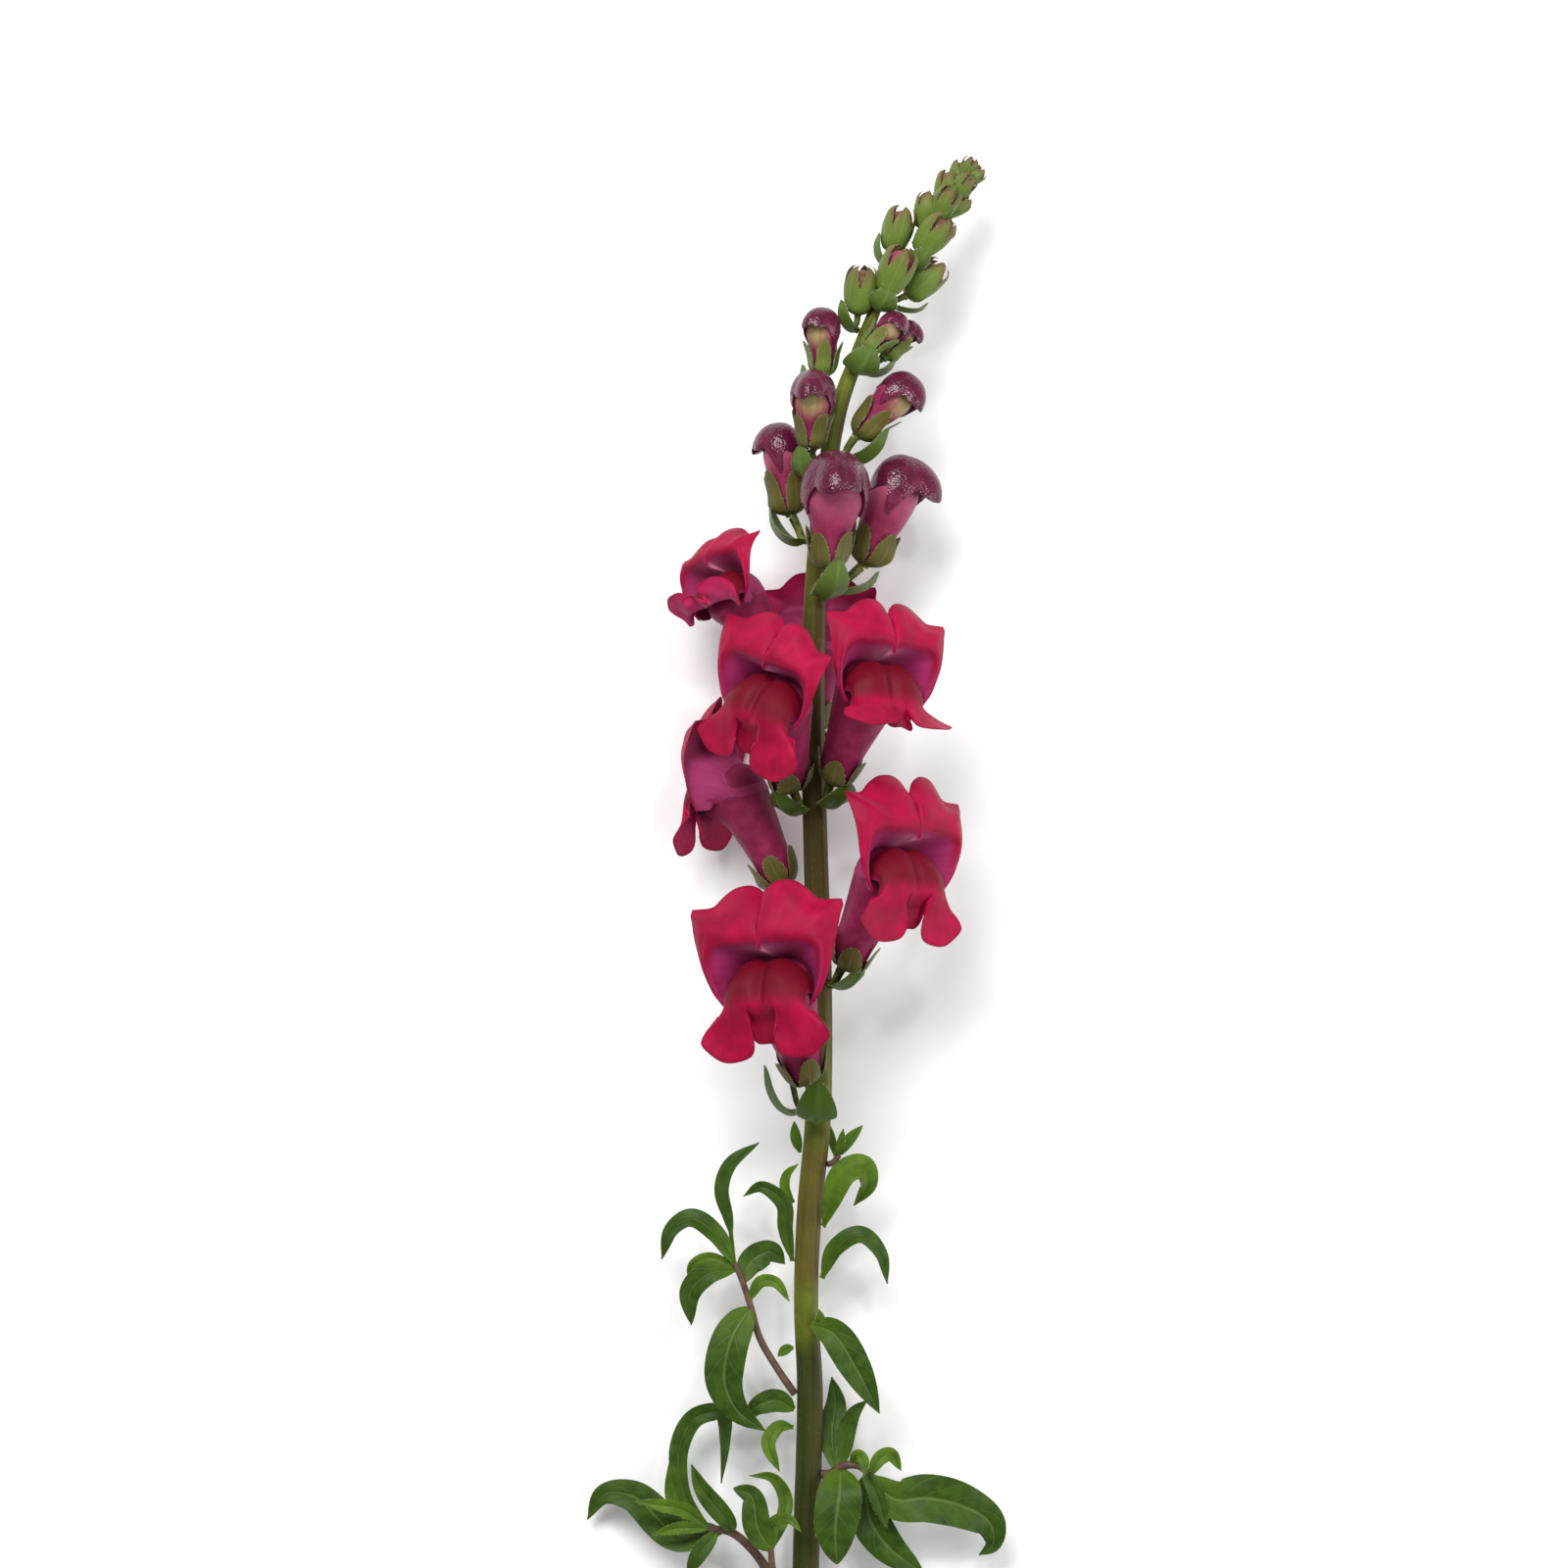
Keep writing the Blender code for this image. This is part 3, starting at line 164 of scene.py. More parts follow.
def stem_frame(y, azimuth):
    """A joint of the stem: its middle point, axes to the side, up the stem and outwards, and its radius."""
    place, up, radius = stem_at(y)
    front = unit(np.array([0, 0, 1.0]) - up * up[2])
    right = np.cross(up, front)
    turn = math.radians(azimuth)
    out = front * math.cos(turn) + right * math.sin(turn)
    return place, np.array([np.cross(up, out), up, out]), radius


def stalk_surface(points, faces, rib=0.0, ribs=5):
    """A round stalk through points (x, y, z, radius), with low ribs along it. faces is how many there are around
    and along it, and the first and last rows along it are its ends."""
    line = smooth_line(points, 240)
    rows = faces[1] - 2
    end = 0.5 / faces[1]
    heading = unit(np.gradient(line[:, :3], axis=0))
    side = unit(np.cross(heading, np.array([0.02, 0.05, 1.0])))
    depth = np.cross(side, heading)

    def surface(u, v):
        share = np.clip((v * faces[1] - 1) / rows, 0, 1)
        turn = 2 * math.pi * u
        middle = along(line, share)
        reach = middle[:, 3] * (1 + rib * np.cos(ribs * turn + 0.6 * np.sin(9 * share)))
        reach = np.where((v > end) & (v < 1 - end), reach, 0)[:, None]
        across = along(side, share) * np.cos(turn)[:, None] + along(depth, share) * np.sin(turn)[:, None]
        return middle[:, :3] + across * reach

    return surface


MIDRIB_GROOVE = 0.05  # depth of the groove over a blade's midrib, as a share of half its width


def blade_surface(points, half_width, face=(0, 0, 1), face_tip=None, petiole=0.0, fold=0.18, wave=0.0, waves=2.5,
                  shape=(0.75, 0.9)):
    """A pointed blade along a curve through points. face is where its upper side looks at the base, face_tip at
    the tip. petiole is the share of its length that is a narrow stalk, fold lifts its edges, wave ripples them and
    waves is the number of ripples. shape gives the powers of its widening and narrowing."""
    line = smooth_line(points)
    heading = unit(np.gradient(line, axis=0))
    share = np.linspace(0, 1, len(line))[:, None]
    look = unit(np.array(face, float)) * (1 - share) + unit(np.array(face_tip or face, float)) * share
    side = unit(np.cross(heading, look))
    upper = np.cross(side, heading)
    rise, fall = shape
    peak = (rise / (rise + fall)) ** rise * (fall / (rise + fall)) ** fall

    def width(v):
        s = np.clip((v - petiole) / (1 - petiole), 0, 1)
        stalk_half = 0.13 * half_width + 0.35
        body = half_width * (s**rise * np.clip(1 - s, 0, 1) ** fall) / peak
        return np.maximum(body, np.where(v > 0.9, 0.16, stalk_half * np.clip(1.3 - v, 0, 1)))

    def surface(u, v):
        across = 2 * u - 1
        half = width(v)
        edge = np.abs(across)
        ripple = wave * half * edge**2 * np.sin(2 * math.pi * waves * v + 1.2 * np.sign(across))
        groove = MIDRIB_GROOVE * half * np.exp(-((across / 0.12) ** 2))
        quilt = 0.02 * half * np.sin(edge * 9 - 34 * v) * edge * (1 - edge)
        lift = fold * half * edge + ripple - groove + quilt
        flat = along(line, v) + along(side, v) * (across * half)[:, None]
        return pressed(flat + along(upper, v) * lift[:, None])

    return surface


def profile(stations, values, at):
    """A smooth profile through a few stations."""
    line = smooth_line(np.stack([stations, values], axis=1), 200)
    return np.interp(at, line[:, 0], np.maximum(line[:, 1], 0))


def outline(points, angle):
    """The reach of a lip at an angle in radians, alike on both sides."""
    line = smooth_line(points, 240)
    return np.interp(np.degrees(np.abs(angle)), line[:, 0], line[:, 1])


# Open blooms and buds in their own frame: x to the side, y up the stem and z outwards, with the base at the origin

SIDEWAYS = np.array([1.0, 0.0, 0.0])
# Forms: length of the axis and its climb in degrees, half of the width and of the depth at stations along it, and
# how far a pouch at the base and a chin under the mouth stand out
TUBE = dict(
    length=28.0,
    climb=60,
    stations=(0.0, 0.05, 0.2, 0.45, 0.7, 0.9, 1.05, 1.18, 1.27, 1.3),
    half_width=(0.0, 3.0, 5.0, 6.3, 7.8, 9.0, 9.8, 9.0, 5.8, 0.0),
    half_depth=(0.0, 3.0, 4.9, 5.7, 6.5, 7.2, 7.4, 6.6, 4.3, 0.0),
    sac=1.6,
    chin=4.2,
)
BIG_BUD = dict(
    length=28.5,
    climb=70,
    stations=(0.0, 0.04, 0.16, 0.32, 0.48, 0.64, 0.77, 0.88, 0.95, 1.0),
    half_width=(0.0, 2.5, 3.9, 4.7, 6.3, 7.7, 7.4, 5.6, 3.3, 0.0),
    half_depth=(0.0, 2.6, 4.2, 5.0, 5.8, 6.2, 5.2, 3.6, 2.0, 0.0),
    sac=1.4,
    chin=0.0,
)
SMALL_BUD = dict(
    length=14.0,
    climb=70,
    stations=(0.0, 0.06, 0.25, 0.5, 0.75, 0.92, 1.0),
    half_width=(0.0, 2.0, 3.3, 3.9, 3.6, 2.4, 0.0),
    half_depth=(0.0, 2.0, 3.3, 3.8, 3.5, 2.3, 0.0),
    sac=0.4,
    chin=0.0,
)
FACE = (0.0, 27.5)  # middle of an open bloom's face: side and up
UPPER_SPREAD = math.radians(124)  # how far round the mouth the upper lip goes, to each side
LOWER_SPREAD = math.radians(96)
LOWER_LIFT = math.radians(85)  # from the lower lobes' hanging down to their standing straight out
# Outline of the upper lip from its middle to its side: angle in degrees, and reach from the face's middle
UPPER_OUTLINE = (
    (0, 9.8), (1.3, 14), (3.5, 21.5), (9, 25), (18, 26.2), (28, 25.4), (36, 24.6),
    (42, 26.2), (46.5, 28), (52, 25), (64, 20.8), (83, 17.2), (106, 14.8), (126, 13.4),
)
MOUTH_RADIUS = ((0, 5.6), (30, 6.8), (60, 9.3), (90, 11.2), (126, 11.9))
# Edge of the lower lip from its middle to its side: share of the way across, then side and height
LOWER_EDGE = (
    (0, 0, 11.4), (0.08, 2.4, 11.6), (0.14, 4.0, 13.2), (0.18, 4.4, 15.6), (0.205, 4.0, 17.6),
    (0.232, 3.4, 14.8), (0.27, 2.9, 11.6), (0.34, 4.0, 8.9), (0.45, 7.6, 7.6), (0.57, 11.6, 7.7),
    (0.66, 14.9, 9.8), (0.73, 17.4, 12.7), (0.8, 16.4, 15.0), (0.89, 14.8, 16.9), (1.0, 13.4, 18.8),
)


def axes_of(form):
    """The way that a form's axis runs, and the way to its back."""
    climb = math.radians(form["climb"])
    return np.array([0, math.sin(climb), math.cos(climb)]), np.array([0, math.cos(climb), -math.sin(climb)])


def form_point(form, station, turn, grow=0.0):
    """A point of a form's surface. turn is 0 at its back, next to the stem, and grow moves it outwards."""
    ahead, back = axes_of(form)
    half = profile(form["stations"], form["half_width"], station) + grow
    deep = profile(form["stations"], form["half_depth"], station) + grow
    front = np.clip(-np.cos(turn), 0, 1)
    pouch = form["sac"] * np.exp(-(((station - 0.1) / 0.1) ** 2)) * front
    chin = form["chin"] * np.exp(-(((station - 1.02) / 0.17) ** 2)) * front**1.5
    middle = form["length"] * station[:, None] * ahead
    deep = deep + pouch + chin
    return middle + (half * np.sin(turn))[:, None] * SIDEWAYS + (deep * np.cos(turn))[:, None] * back


def hinged(point, hinge, angle):
    """Points turned about a line across the flower, so that what hangs down swings to the front."""
    way = point - hinge
    cosine, sine = math.cos(angle), math.sin(angle)
    swung = [way[:, 0], cosine * way[:, 1] + sine * way[:, 2], cosine * way[:, 2] - sine * way[:, 1]]
    return hinge + np.stack(swung, axis=1)


class Flower:
    """The form of one open bloom."""

    def __init__(self, size, ruffle, upper=1.0, upper_back=12.0, lower=1.0, droop=1.0, skew=0.0, phase=0.0):
        self.size = size
        self.ruffle = ruffle  # how strongly its edges wave
        self.upper = upper  # reach of the upper lip
        self.upper_back = upper_back  # how far its lobes lean back towards the stem, in degrees
        self.lower = lower  # reach of the lower lip's lobes
        self.droop = droop  # 1 lets them hang down and 0 makes them stand straight out
        self.skew = skew  # makes one side a little larger than the other
        self.phase = phase  # shifts the waves of its edges

    def tube(self, u, v):
        """The closed tube, from its base to its mouth."""
        return form_point(TUBE, v * TUBE["stations"][-1], 2 * math.pi * u) * self.size

    def upper_lip(self, u, v):
        """From the tube's rim over the throat to a crease, and from there two lobes that lap over each other."""
        across = 2 * u - 1
        face = np.sign(across) * np.abs(across) ** 1.35 * UPPER_SPREAD
        side, level = np.sin(face), np.cos(face)

        def at(reach, depth):
            return np.stack([FACE[0] + reach * side, FACE[1] + reach * level, depth], axis=1)

        root = form_point(TUBE, np.full_like(face, 0.82), face / 1.08, grow=-1.2)
        rim = form_point(TUBE, np.full_like(face, 1.0), face / 1.08, grow=-0.15)
        mouth = outline(MOUTH_RADIUS, face)
        reach = mouth + (outline(UPPER_OUTLINE, face) - mouth) * self.upper * (1 + self.skew * side)
        wing = 1 - level
        across_fold = 9.4 / np.maximum(level, 0.12)
        crease = (across_fold**-5 + (reach - (0.3 + 0.16 * wing) * (reach - mouth)) ** -5) ** -0.2
        lobe = np.clip((reach - crease) / 14, 0, 1)
        lap = np.exp(-((face / 0.2) ** 2)) * np.sign(across) * lobe
        wave = self.ruffle * np.sin(4.6 * face + self.phase) * lobe
        inner = at(mouth, 16.8 + 1.1 * wing)
        fold = at(crease, 25.0 - 2.7 * wing)
        half = at(crease + 0.52 * (reach - crease), 24.6 - 1.9 * wing + 0.6 * lobe + 0.5 * wave + 0.5 * lap)
        end = at(reach, 23.0 - 0.5 * wing - 2.2 * lobe + 1.3 * wave + 0.8 * lap)
        half[:, 0] -= 0.8 * lap
        end[:, 0] -= 1.6 * lap
        lean = math.radians(self.upper_back)
        half, end = hinged(half, fold, lean), hinged(end, fold, lean)
        return through([root, rim, inner, fold, half, end], (0, 0.16, 0.36, 0.52, 0.76, 1.0), v) * self.size

    def lower_lip(self, u, v):
        """From the mouth over the two humps of the palate to a crest, and from there three lobes."""
        across = 2 * u - 1
        arch = across * LOWER_SPREAD
        side, level = np.sin(arch), np.cos(arch)
        flat = 1 - level
        hump = np.exp(-(((np.abs(arch) - 0.5) / 0.3) ** 2))
        furrow = np.exp(-((arch / 0.16) ** 2))
        start = np.stack([8.6 * side, 24 + 6.0 * level, np.full_like(side, 14.5)], axis=1)
        corner = np.clip(flat - 0.55, 0, 1)
        top_up = 24 + (8.3 + 0.5 * hump - 1.1 * furrow) * level
        front_out = 25.2 - 1.6 * flat + 0.9 * hump - 1.7 * furrow
        crest_out = 28.4 - 3.8 * flat + 0.3 * hump - 1.2 * furrow
        top = np.stack([11.3 * side, top_up, 19.6 - 0.8 * flat], axis=1)
        front = np.stack([10.9 * side, 23.6 + 5.6 * level, front_out], axis=1)
        crest = np.stack([11.1 * side, 22.0 - 0.8 * flat - 3.2 * corner, crest_out], axis=1)
        edge = smooth_line(LOWER_EDGE, 300)
        share = np.abs(across)
        edge_side = np.interp(share, edge[:, 0], edge[:, 1]) * np.sign(across)
        edge_down = np.interp(share, edge[:, 0], edge[:, 2])
        scale = self.lower * (1 - self.skew * across)
        middle = np.exp(-((share / 0.21) ** 8))
        wave = self.ruffle * np.sin(7.5 * across + self.phase + 1) * (1 - middle) * (1 - 0.8 * share**6)
        end = np.stack([
            crest[:, 0] + (edge_side - crest[:, 0]) * scale,
            crest[:, 1] + (edge_down - crest[:, 1]) * scale,
            27.6 - 3.6 * flat - 3.0 * middle + wave,
        ], axis=1)
        half = 0.5 * (crest + end)
        half[:, 2] = 27.2 - 3.4 * flat - 2.4 * middle
        lift = LOWER_LIFT * (1 - self.droop)
        half, end = hinged(half, crest, lift), hinged(end, crest, lift)
        return through([start, top, front, crest, half, end], (0, 0.15, 0.34, 0.55, 0.78, 1.0), v) * self.size


def closed_form(form, size):
    """The whole of a form, closed at both ends."""

    def surface(u, v):
        return form_point(form, v * form["stations"][-1], 2 * math.pi * u) * size

    return surface


HOOD_RIM = 0.76  # share of a hood's rows that is its outside; the rest is its hollow underside
HOOD_STATION = 0.69  # where a hood's middle is along its bud
HOOD_LEAN = math.radians(-10)
HOOD_HALF = (8.3, 9.2)  # half of its width, and its height
HOOD_DEPTH = 7.2  # from its middle to its back, and without the beak to its front
FLAP_DROP = 8.5  # how far its flaps hang down


def hood_surface(form, size, beak=1.0):
    """A bud's upper lip: a plump helmet, hollow underneath, with two lapping lobes and a flap down each side. beak
    is how far it stands forward, as a share of the usual."""
    ahead, back = axes_of(form)
    up = math.cos(HOOD_LEAN) * ahead - math.sin(HOOD_LEAN) * back
    rear = math.cos(HOOD_LEAN) * back + math.sin(HOOD_LEAN) * ahead
    centre = HOOD_STATION * form["length"] * ahead - 0.8 * back

    def surface(u, v):
        turn = 2 * math.pi * u
        front = np.abs(turn - math.pi)
        over = np.exp(-((front / 0.95) ** 4))
        lobe = np.exp(-(((front - 0.42) / 0.36) ** 4))
        gap = np.exp(-(((front - 0.84) / 0.17) ** 2))
        flap = np.exp(-(((front - 1.28) / 0.3) ** 2))
        behind = np.clip(-np.cos(front), 0, 1)
        lap = np.tanh((turn - math.pi + 0.1) / 0.08) * np.exp(-((front / 0.55) ** 2))
        rim = 0.84 + 0.21 * lobe - 0.02 * gap + 0.95 * flap + 0.09 * lap + 0.55 * behind
        share = np.clip(v / HOOD_RIM, 0, 1)
        run = share * rim
        angle = 0.5 * math.pi * np.clip(run, 0, 1)
        drop = np.clip(run - 1, 0, 1)
        deep = np.where(np.cos(turn) > 0, HOOD_DEPTH, HOOD_DEPTH + 3.4 * beak * over)
        level = (deep * np.cos(turn))[:, None] * rear + (HOOD_HALF[0] * np.sin(turn))[:, None] * SIDEWAYS
        swell = 1 + beak * share * (0.055 * lap + 0.03 * lobe - 0.05 * gap) - 0.5 * drop**2 * over
        made = centre + (HOOD_HALF[1] * np.cos(angle))[:, None] * up
        made = made + (np.sin(angle) ** 0.92 * swell)[:, None] * level
        made = made - (FLAP_DROP * drop)[:, None] * ahead
        held = form_point(form, HOOD_STATION - FLAP_DROP * drop / form["length"], turn, grow=0.55)
        close = (np.clip(drop / 0.6, 0, 1) * (1 - over))[:, None]
        made = made * (1 - close) + held * close
        within = np.clip((v - HOOD_RIM) / (1 - HOOD_RIM), 0, 1)[:, None]
        hollow = centre + (1.0 + 2.5 * np.sin(math.pi * within)) * up
        return (made * (1 - within) + hollow * within) * size

    return surface


def turn_of(pitch=0.0, roll=0.0):
    """The turn that tips a flower outwards by pitch and rolls it, both in degrees."""
    tip, bank = math.radians(pitch), math.radians(roll)
    tilt = np.array([[1, 0, 0], [0, math.cos(tip), -math.sin(tip)], [0, math.sin(tip), math.cos(tip)]])
    banking = np.array([[math.cos(bank), -math.sin(bank), 0], [math.sin(bank), math.cos(bank), 0], [0, 0, 1]])
    return banking @ tilt


def posed(surface, turn, axes, base):
    """A surface of a flower's own frame, turned, then set at base with its sides along axes."""

    def moved(u, v):
        return pressed(surface(u, v) @ turn.T @ axes + base)

    return moved


def spec_base(spec):
    """Where a corolla's base is: so far up and out from its joint on the stem."""
    place, axes, radius = stem_frame(spec["node"], spec["azimuth"])
    rise, reach = spec["base"]
    return place + rise * axes[1] + (radius + reach) * axes[2]


def spec_turn(spec):
    return turn_of(spec.get("pitch", 0), spec.get("roll", 0))


def placed(spec, surface):
    """A surface of a flower's own frame, set on the stem as its row of the tables says."""
    axes = stem_frame(spec["node"], spec["faces"])[1]
    return posed(surface, spec_turn(spec), axes, spec_base(spec))


# Open blooms. node is the joint's y on the stem, azimuth and faces are the ways that the stalk and the flower
# look, base is how far up and out from the joint the corolla starts, bract is the bract's length and half width,
# and form goes to Flower
BLOOMS = {
    "a_front_low": dict(node=-84.0, azimuth=-20, faces=-22, size=1.0, base=(9.5, 5.0), roll=8,
                        form=dict(skew=0.04), bract=(13.0, 5.2), bract_azimuth=-2),
    "b_right_low": dict(node=-51.0, azimuth=52, faces=40, size=0.96, base=(5.0, 4.5), roll=-8, bract=(8.5, 4.4),
                        bract_spread=1.15, form=dict(phase=1.2, upper_back=14.0)),
    "c_left_low": dict(node=-30.8, azimuth=-102, faces=-116, size=0.93, base=(5.0, 5.0), pitch=-3,
                       bract=(8.5, 4.4), bract_spread=1.15, form=dict(phase=2.1)),
    "d_left_mid": dict(node=-6.5, azimuth=-46, faces=-36, size=0.92, base=(6.0, 4.4), roll=-16, bract=(8.5, 4.4),
                       bract_spread=1.15, form=dict(upper=0.85, droop=0.95, phase=0.5, skew=-0.14)),
    "e_right_mid": dict(node=-5.0, azimuth=40, faces=30, size=0.94, base=(6.0, 4.0), roll=-9, bract=(8.5, 4.4),
                        bract_spread=1.15, form=dict(upper=0.85, lower=0.85, droop=0.3, phase=2.8)),
    "f_left_top": dict(node=21.0, azimuth=-108, faces=-48, size=0.82, base=(6.0, 4.5), roll=16, pitch=-3,
                       form=dict(upper=0.82, upper_back=28.0, lower=0.62, droop=-0.62, phase=1.7)),
    "g_back_mid": dict(node=8.0, azimuth=180, faces=168, size=0.78, base=(6.0, 4.0), pitch=-4,
                       form=dict(upper=0.9, phase=0.9)),
}
# Buds, as the blooms. sepal is a sepal's length as a share of the corolla's, and beak goes to the hood
BUDS = {
    "k_front": dict(node=48.5, azimuth=22, faces=8, size=1.06, base=(6.5, 4.5), pitch=-4, sepal=0.32,
                    bract=(11.0, 4.4)),
    "l_right": dict(node=50.0, azimuth=98, faces=78, size=1.04, base=(7.0, 9.0), roll=-6, sepal=0.3,
                    bract=(9.5, 4.4), bract_spread=1.3),
    "m_left": dict(node=62.0, azimuth=-104, faces=-88, size=0.82, base=(6.5, 4.8), pitch=-6, beak=0.4,
                   bract=(10.0, 4.4)),
    "n_front_left": dict(node=77.4, azimuth=-38, faces=-8, size=0.71, base=(7.2, 5.0), roll=3, bract=(9.0, 3.4)),
    "o_right": dict(node=84.0, azimuth=75, faces=62, size=0.73, base=(6.0, 4.0), pitch=12, roll=-16,
                    bract=(11.0, 4.6)),
    "p_left": dict(node=97.0, azimuth=-85, faces=-34, size=0.6, base=(6.0, 3.9), roll=7, sepal=0.42,
                   bract=(9.0, 4.2)),
    "q_front_right": dict(node=105.5, azimuth=15, faces=35, size=0.46, base=(5.5, 3.5), roll=-20, sepal=0.46,
                          bract=(8.0, 3.9)),
    "r_right": dict(node=107.0, azimuth=98, faces=80, size=0.42, base=(5.0, 4.5), roll=-12, sepal=0.48,
                    bract=(7.0, 3.4)),
}
GREEN_BUDS = {
    "h_left": dict(node=-83.0, azimuth=-80, faces=-80, size=0.45, base=(17.0, 7.5), bract=(12.0, 3.2),
                   bract_spread=0.85),
    "s_left": dict(node=115.0, azimuth=-70, faces=-40, size=0.88, base=(3.6, 2.2), bract=(7.0, 3.4)),
    "t_front": dict(node=121.5, azimuth=10, faces=5, size=0.92, base=(3.6, 3.4), bract=(6.6, 3.2)),
    "u_right": dict(node=124.5, azimuth=100, faces=88, size=0.88, base=(3.4, 4.6), roll=-8, bract=(7.5, 1.9),
                    bract_spread=1.25),
    "v_left": dict(node=131.5, azimuth=-84, faces=-60, size=0.84, base=(3.0, 2.4), bract=(7.0, 2.6)),
    "w_front": dict(node=134.0, azimuth=30, faces=20, size=0.84, base=(3.0, 3.0), bract=(6.5, 2.6)),
}
# Buds at the stem's tip: y, azimuth and size
TIP_BUDS = ((139.2, 105, 0.6), (141.5, -80, 0.6), (144.8, 0, 0.58), (146.4, 110, 0.54), (148.4, -65, 0.52),
            (150.6, 30, 0.48), (153.2, -120, 0.42), (154.4, 85, 0.4), (156.0, -20, 0.34))
TIP_START = 137.0


def leaf(half_width, *midrib, **looks):
    """One leaf: half of its greatest width, points of its midrib from base to tip, and looks for its blade."""
    return midrib, half_width, looks


LEAVES = {
    "leaf_right_loop": [
        leaf(3.4, (10.2, -113.5, 18.7), (12.2, -107, 21.7), (15.6, -99.5, 23.7), (19.8, -98, 22.2),
             (21.6, -102.5, 18.7), (18.0, -108.5, 14.7), face=(-0.6, 0.2, 0.8), face_tip=(0.5, 0.3, 0.8),
             fold=0.3),
    ],
    "leaf_left_tip": [leaf(1.4, (4.1, -94.5, 18.8), (3.0, -90.5, 19.4), (2.6, -86.5, 19.6))],
    "leaf_left_small_high": [
        leaf(1.3, (2.4, -107.5, 17.7), (0.2, -103.5, 18.7), (0.8, -100, 19.7), (3.6, -97.4, 20.7)),
    ],
    "leaf_left_arch": [
        leaf(2.3, (2.2, -122.5, 17.2), (0.6, -114, 19.7), (0.2, -107.5, 21.2), (-5.6, -103.2, 20.7),
             (-10.4, -105.8, 17.7), face=(-0.5, 0, 1), fold=0.3),
    ],
    "leaf_right_curl": [
        leaf(2.6, (9.8, -127, 16.2), (13, -119.5, 18.7), (19.5, -115.8, 20.2), (24.6, -120.5, 18.7),
             (26.6, -128.5, 15.7), face=(0.2, 0.6, 0.8), fold=0.3),
    ],
    "leaf_right_front": [
        leaf(4.3, (7.0, -138.5, 19.7), (12.5, -140.5, 22.7), (18, -148.5, 24.2), (24.4, -161, 22.7), wave=0.12,
             waves=1.5, shape=(0.6, 0.9)),
        leaf(1.2, (8.2, -138.3, 19.6), (9.3, -137.2, 21.5), (9.0, -134.5, 22.3)),
    ],
    "leaf_left_broad": [
        leaf(3.0, (2.6, -161, 13.8), (-2.2, -158.6, 15), (-7, -160.2, 15.5), (-9.2, -163.6, 14.5),
             shape=(0.6, 0.8)),
    ],
    "leaf_left_tiny": [leaf(1.3, (2.4, -145, 15.5), (0.6, -145.3, 16), (-1.6, -147.2, 15.5))],
    "leaf_left_droop": [
        leaf(1.9, (2.3, -165.6, 14), (-1.4, -165.2, 16.5), (-4, -169, 17.5), (-1.2, -176.5, 18.5), fold=0.3),
    ],
}
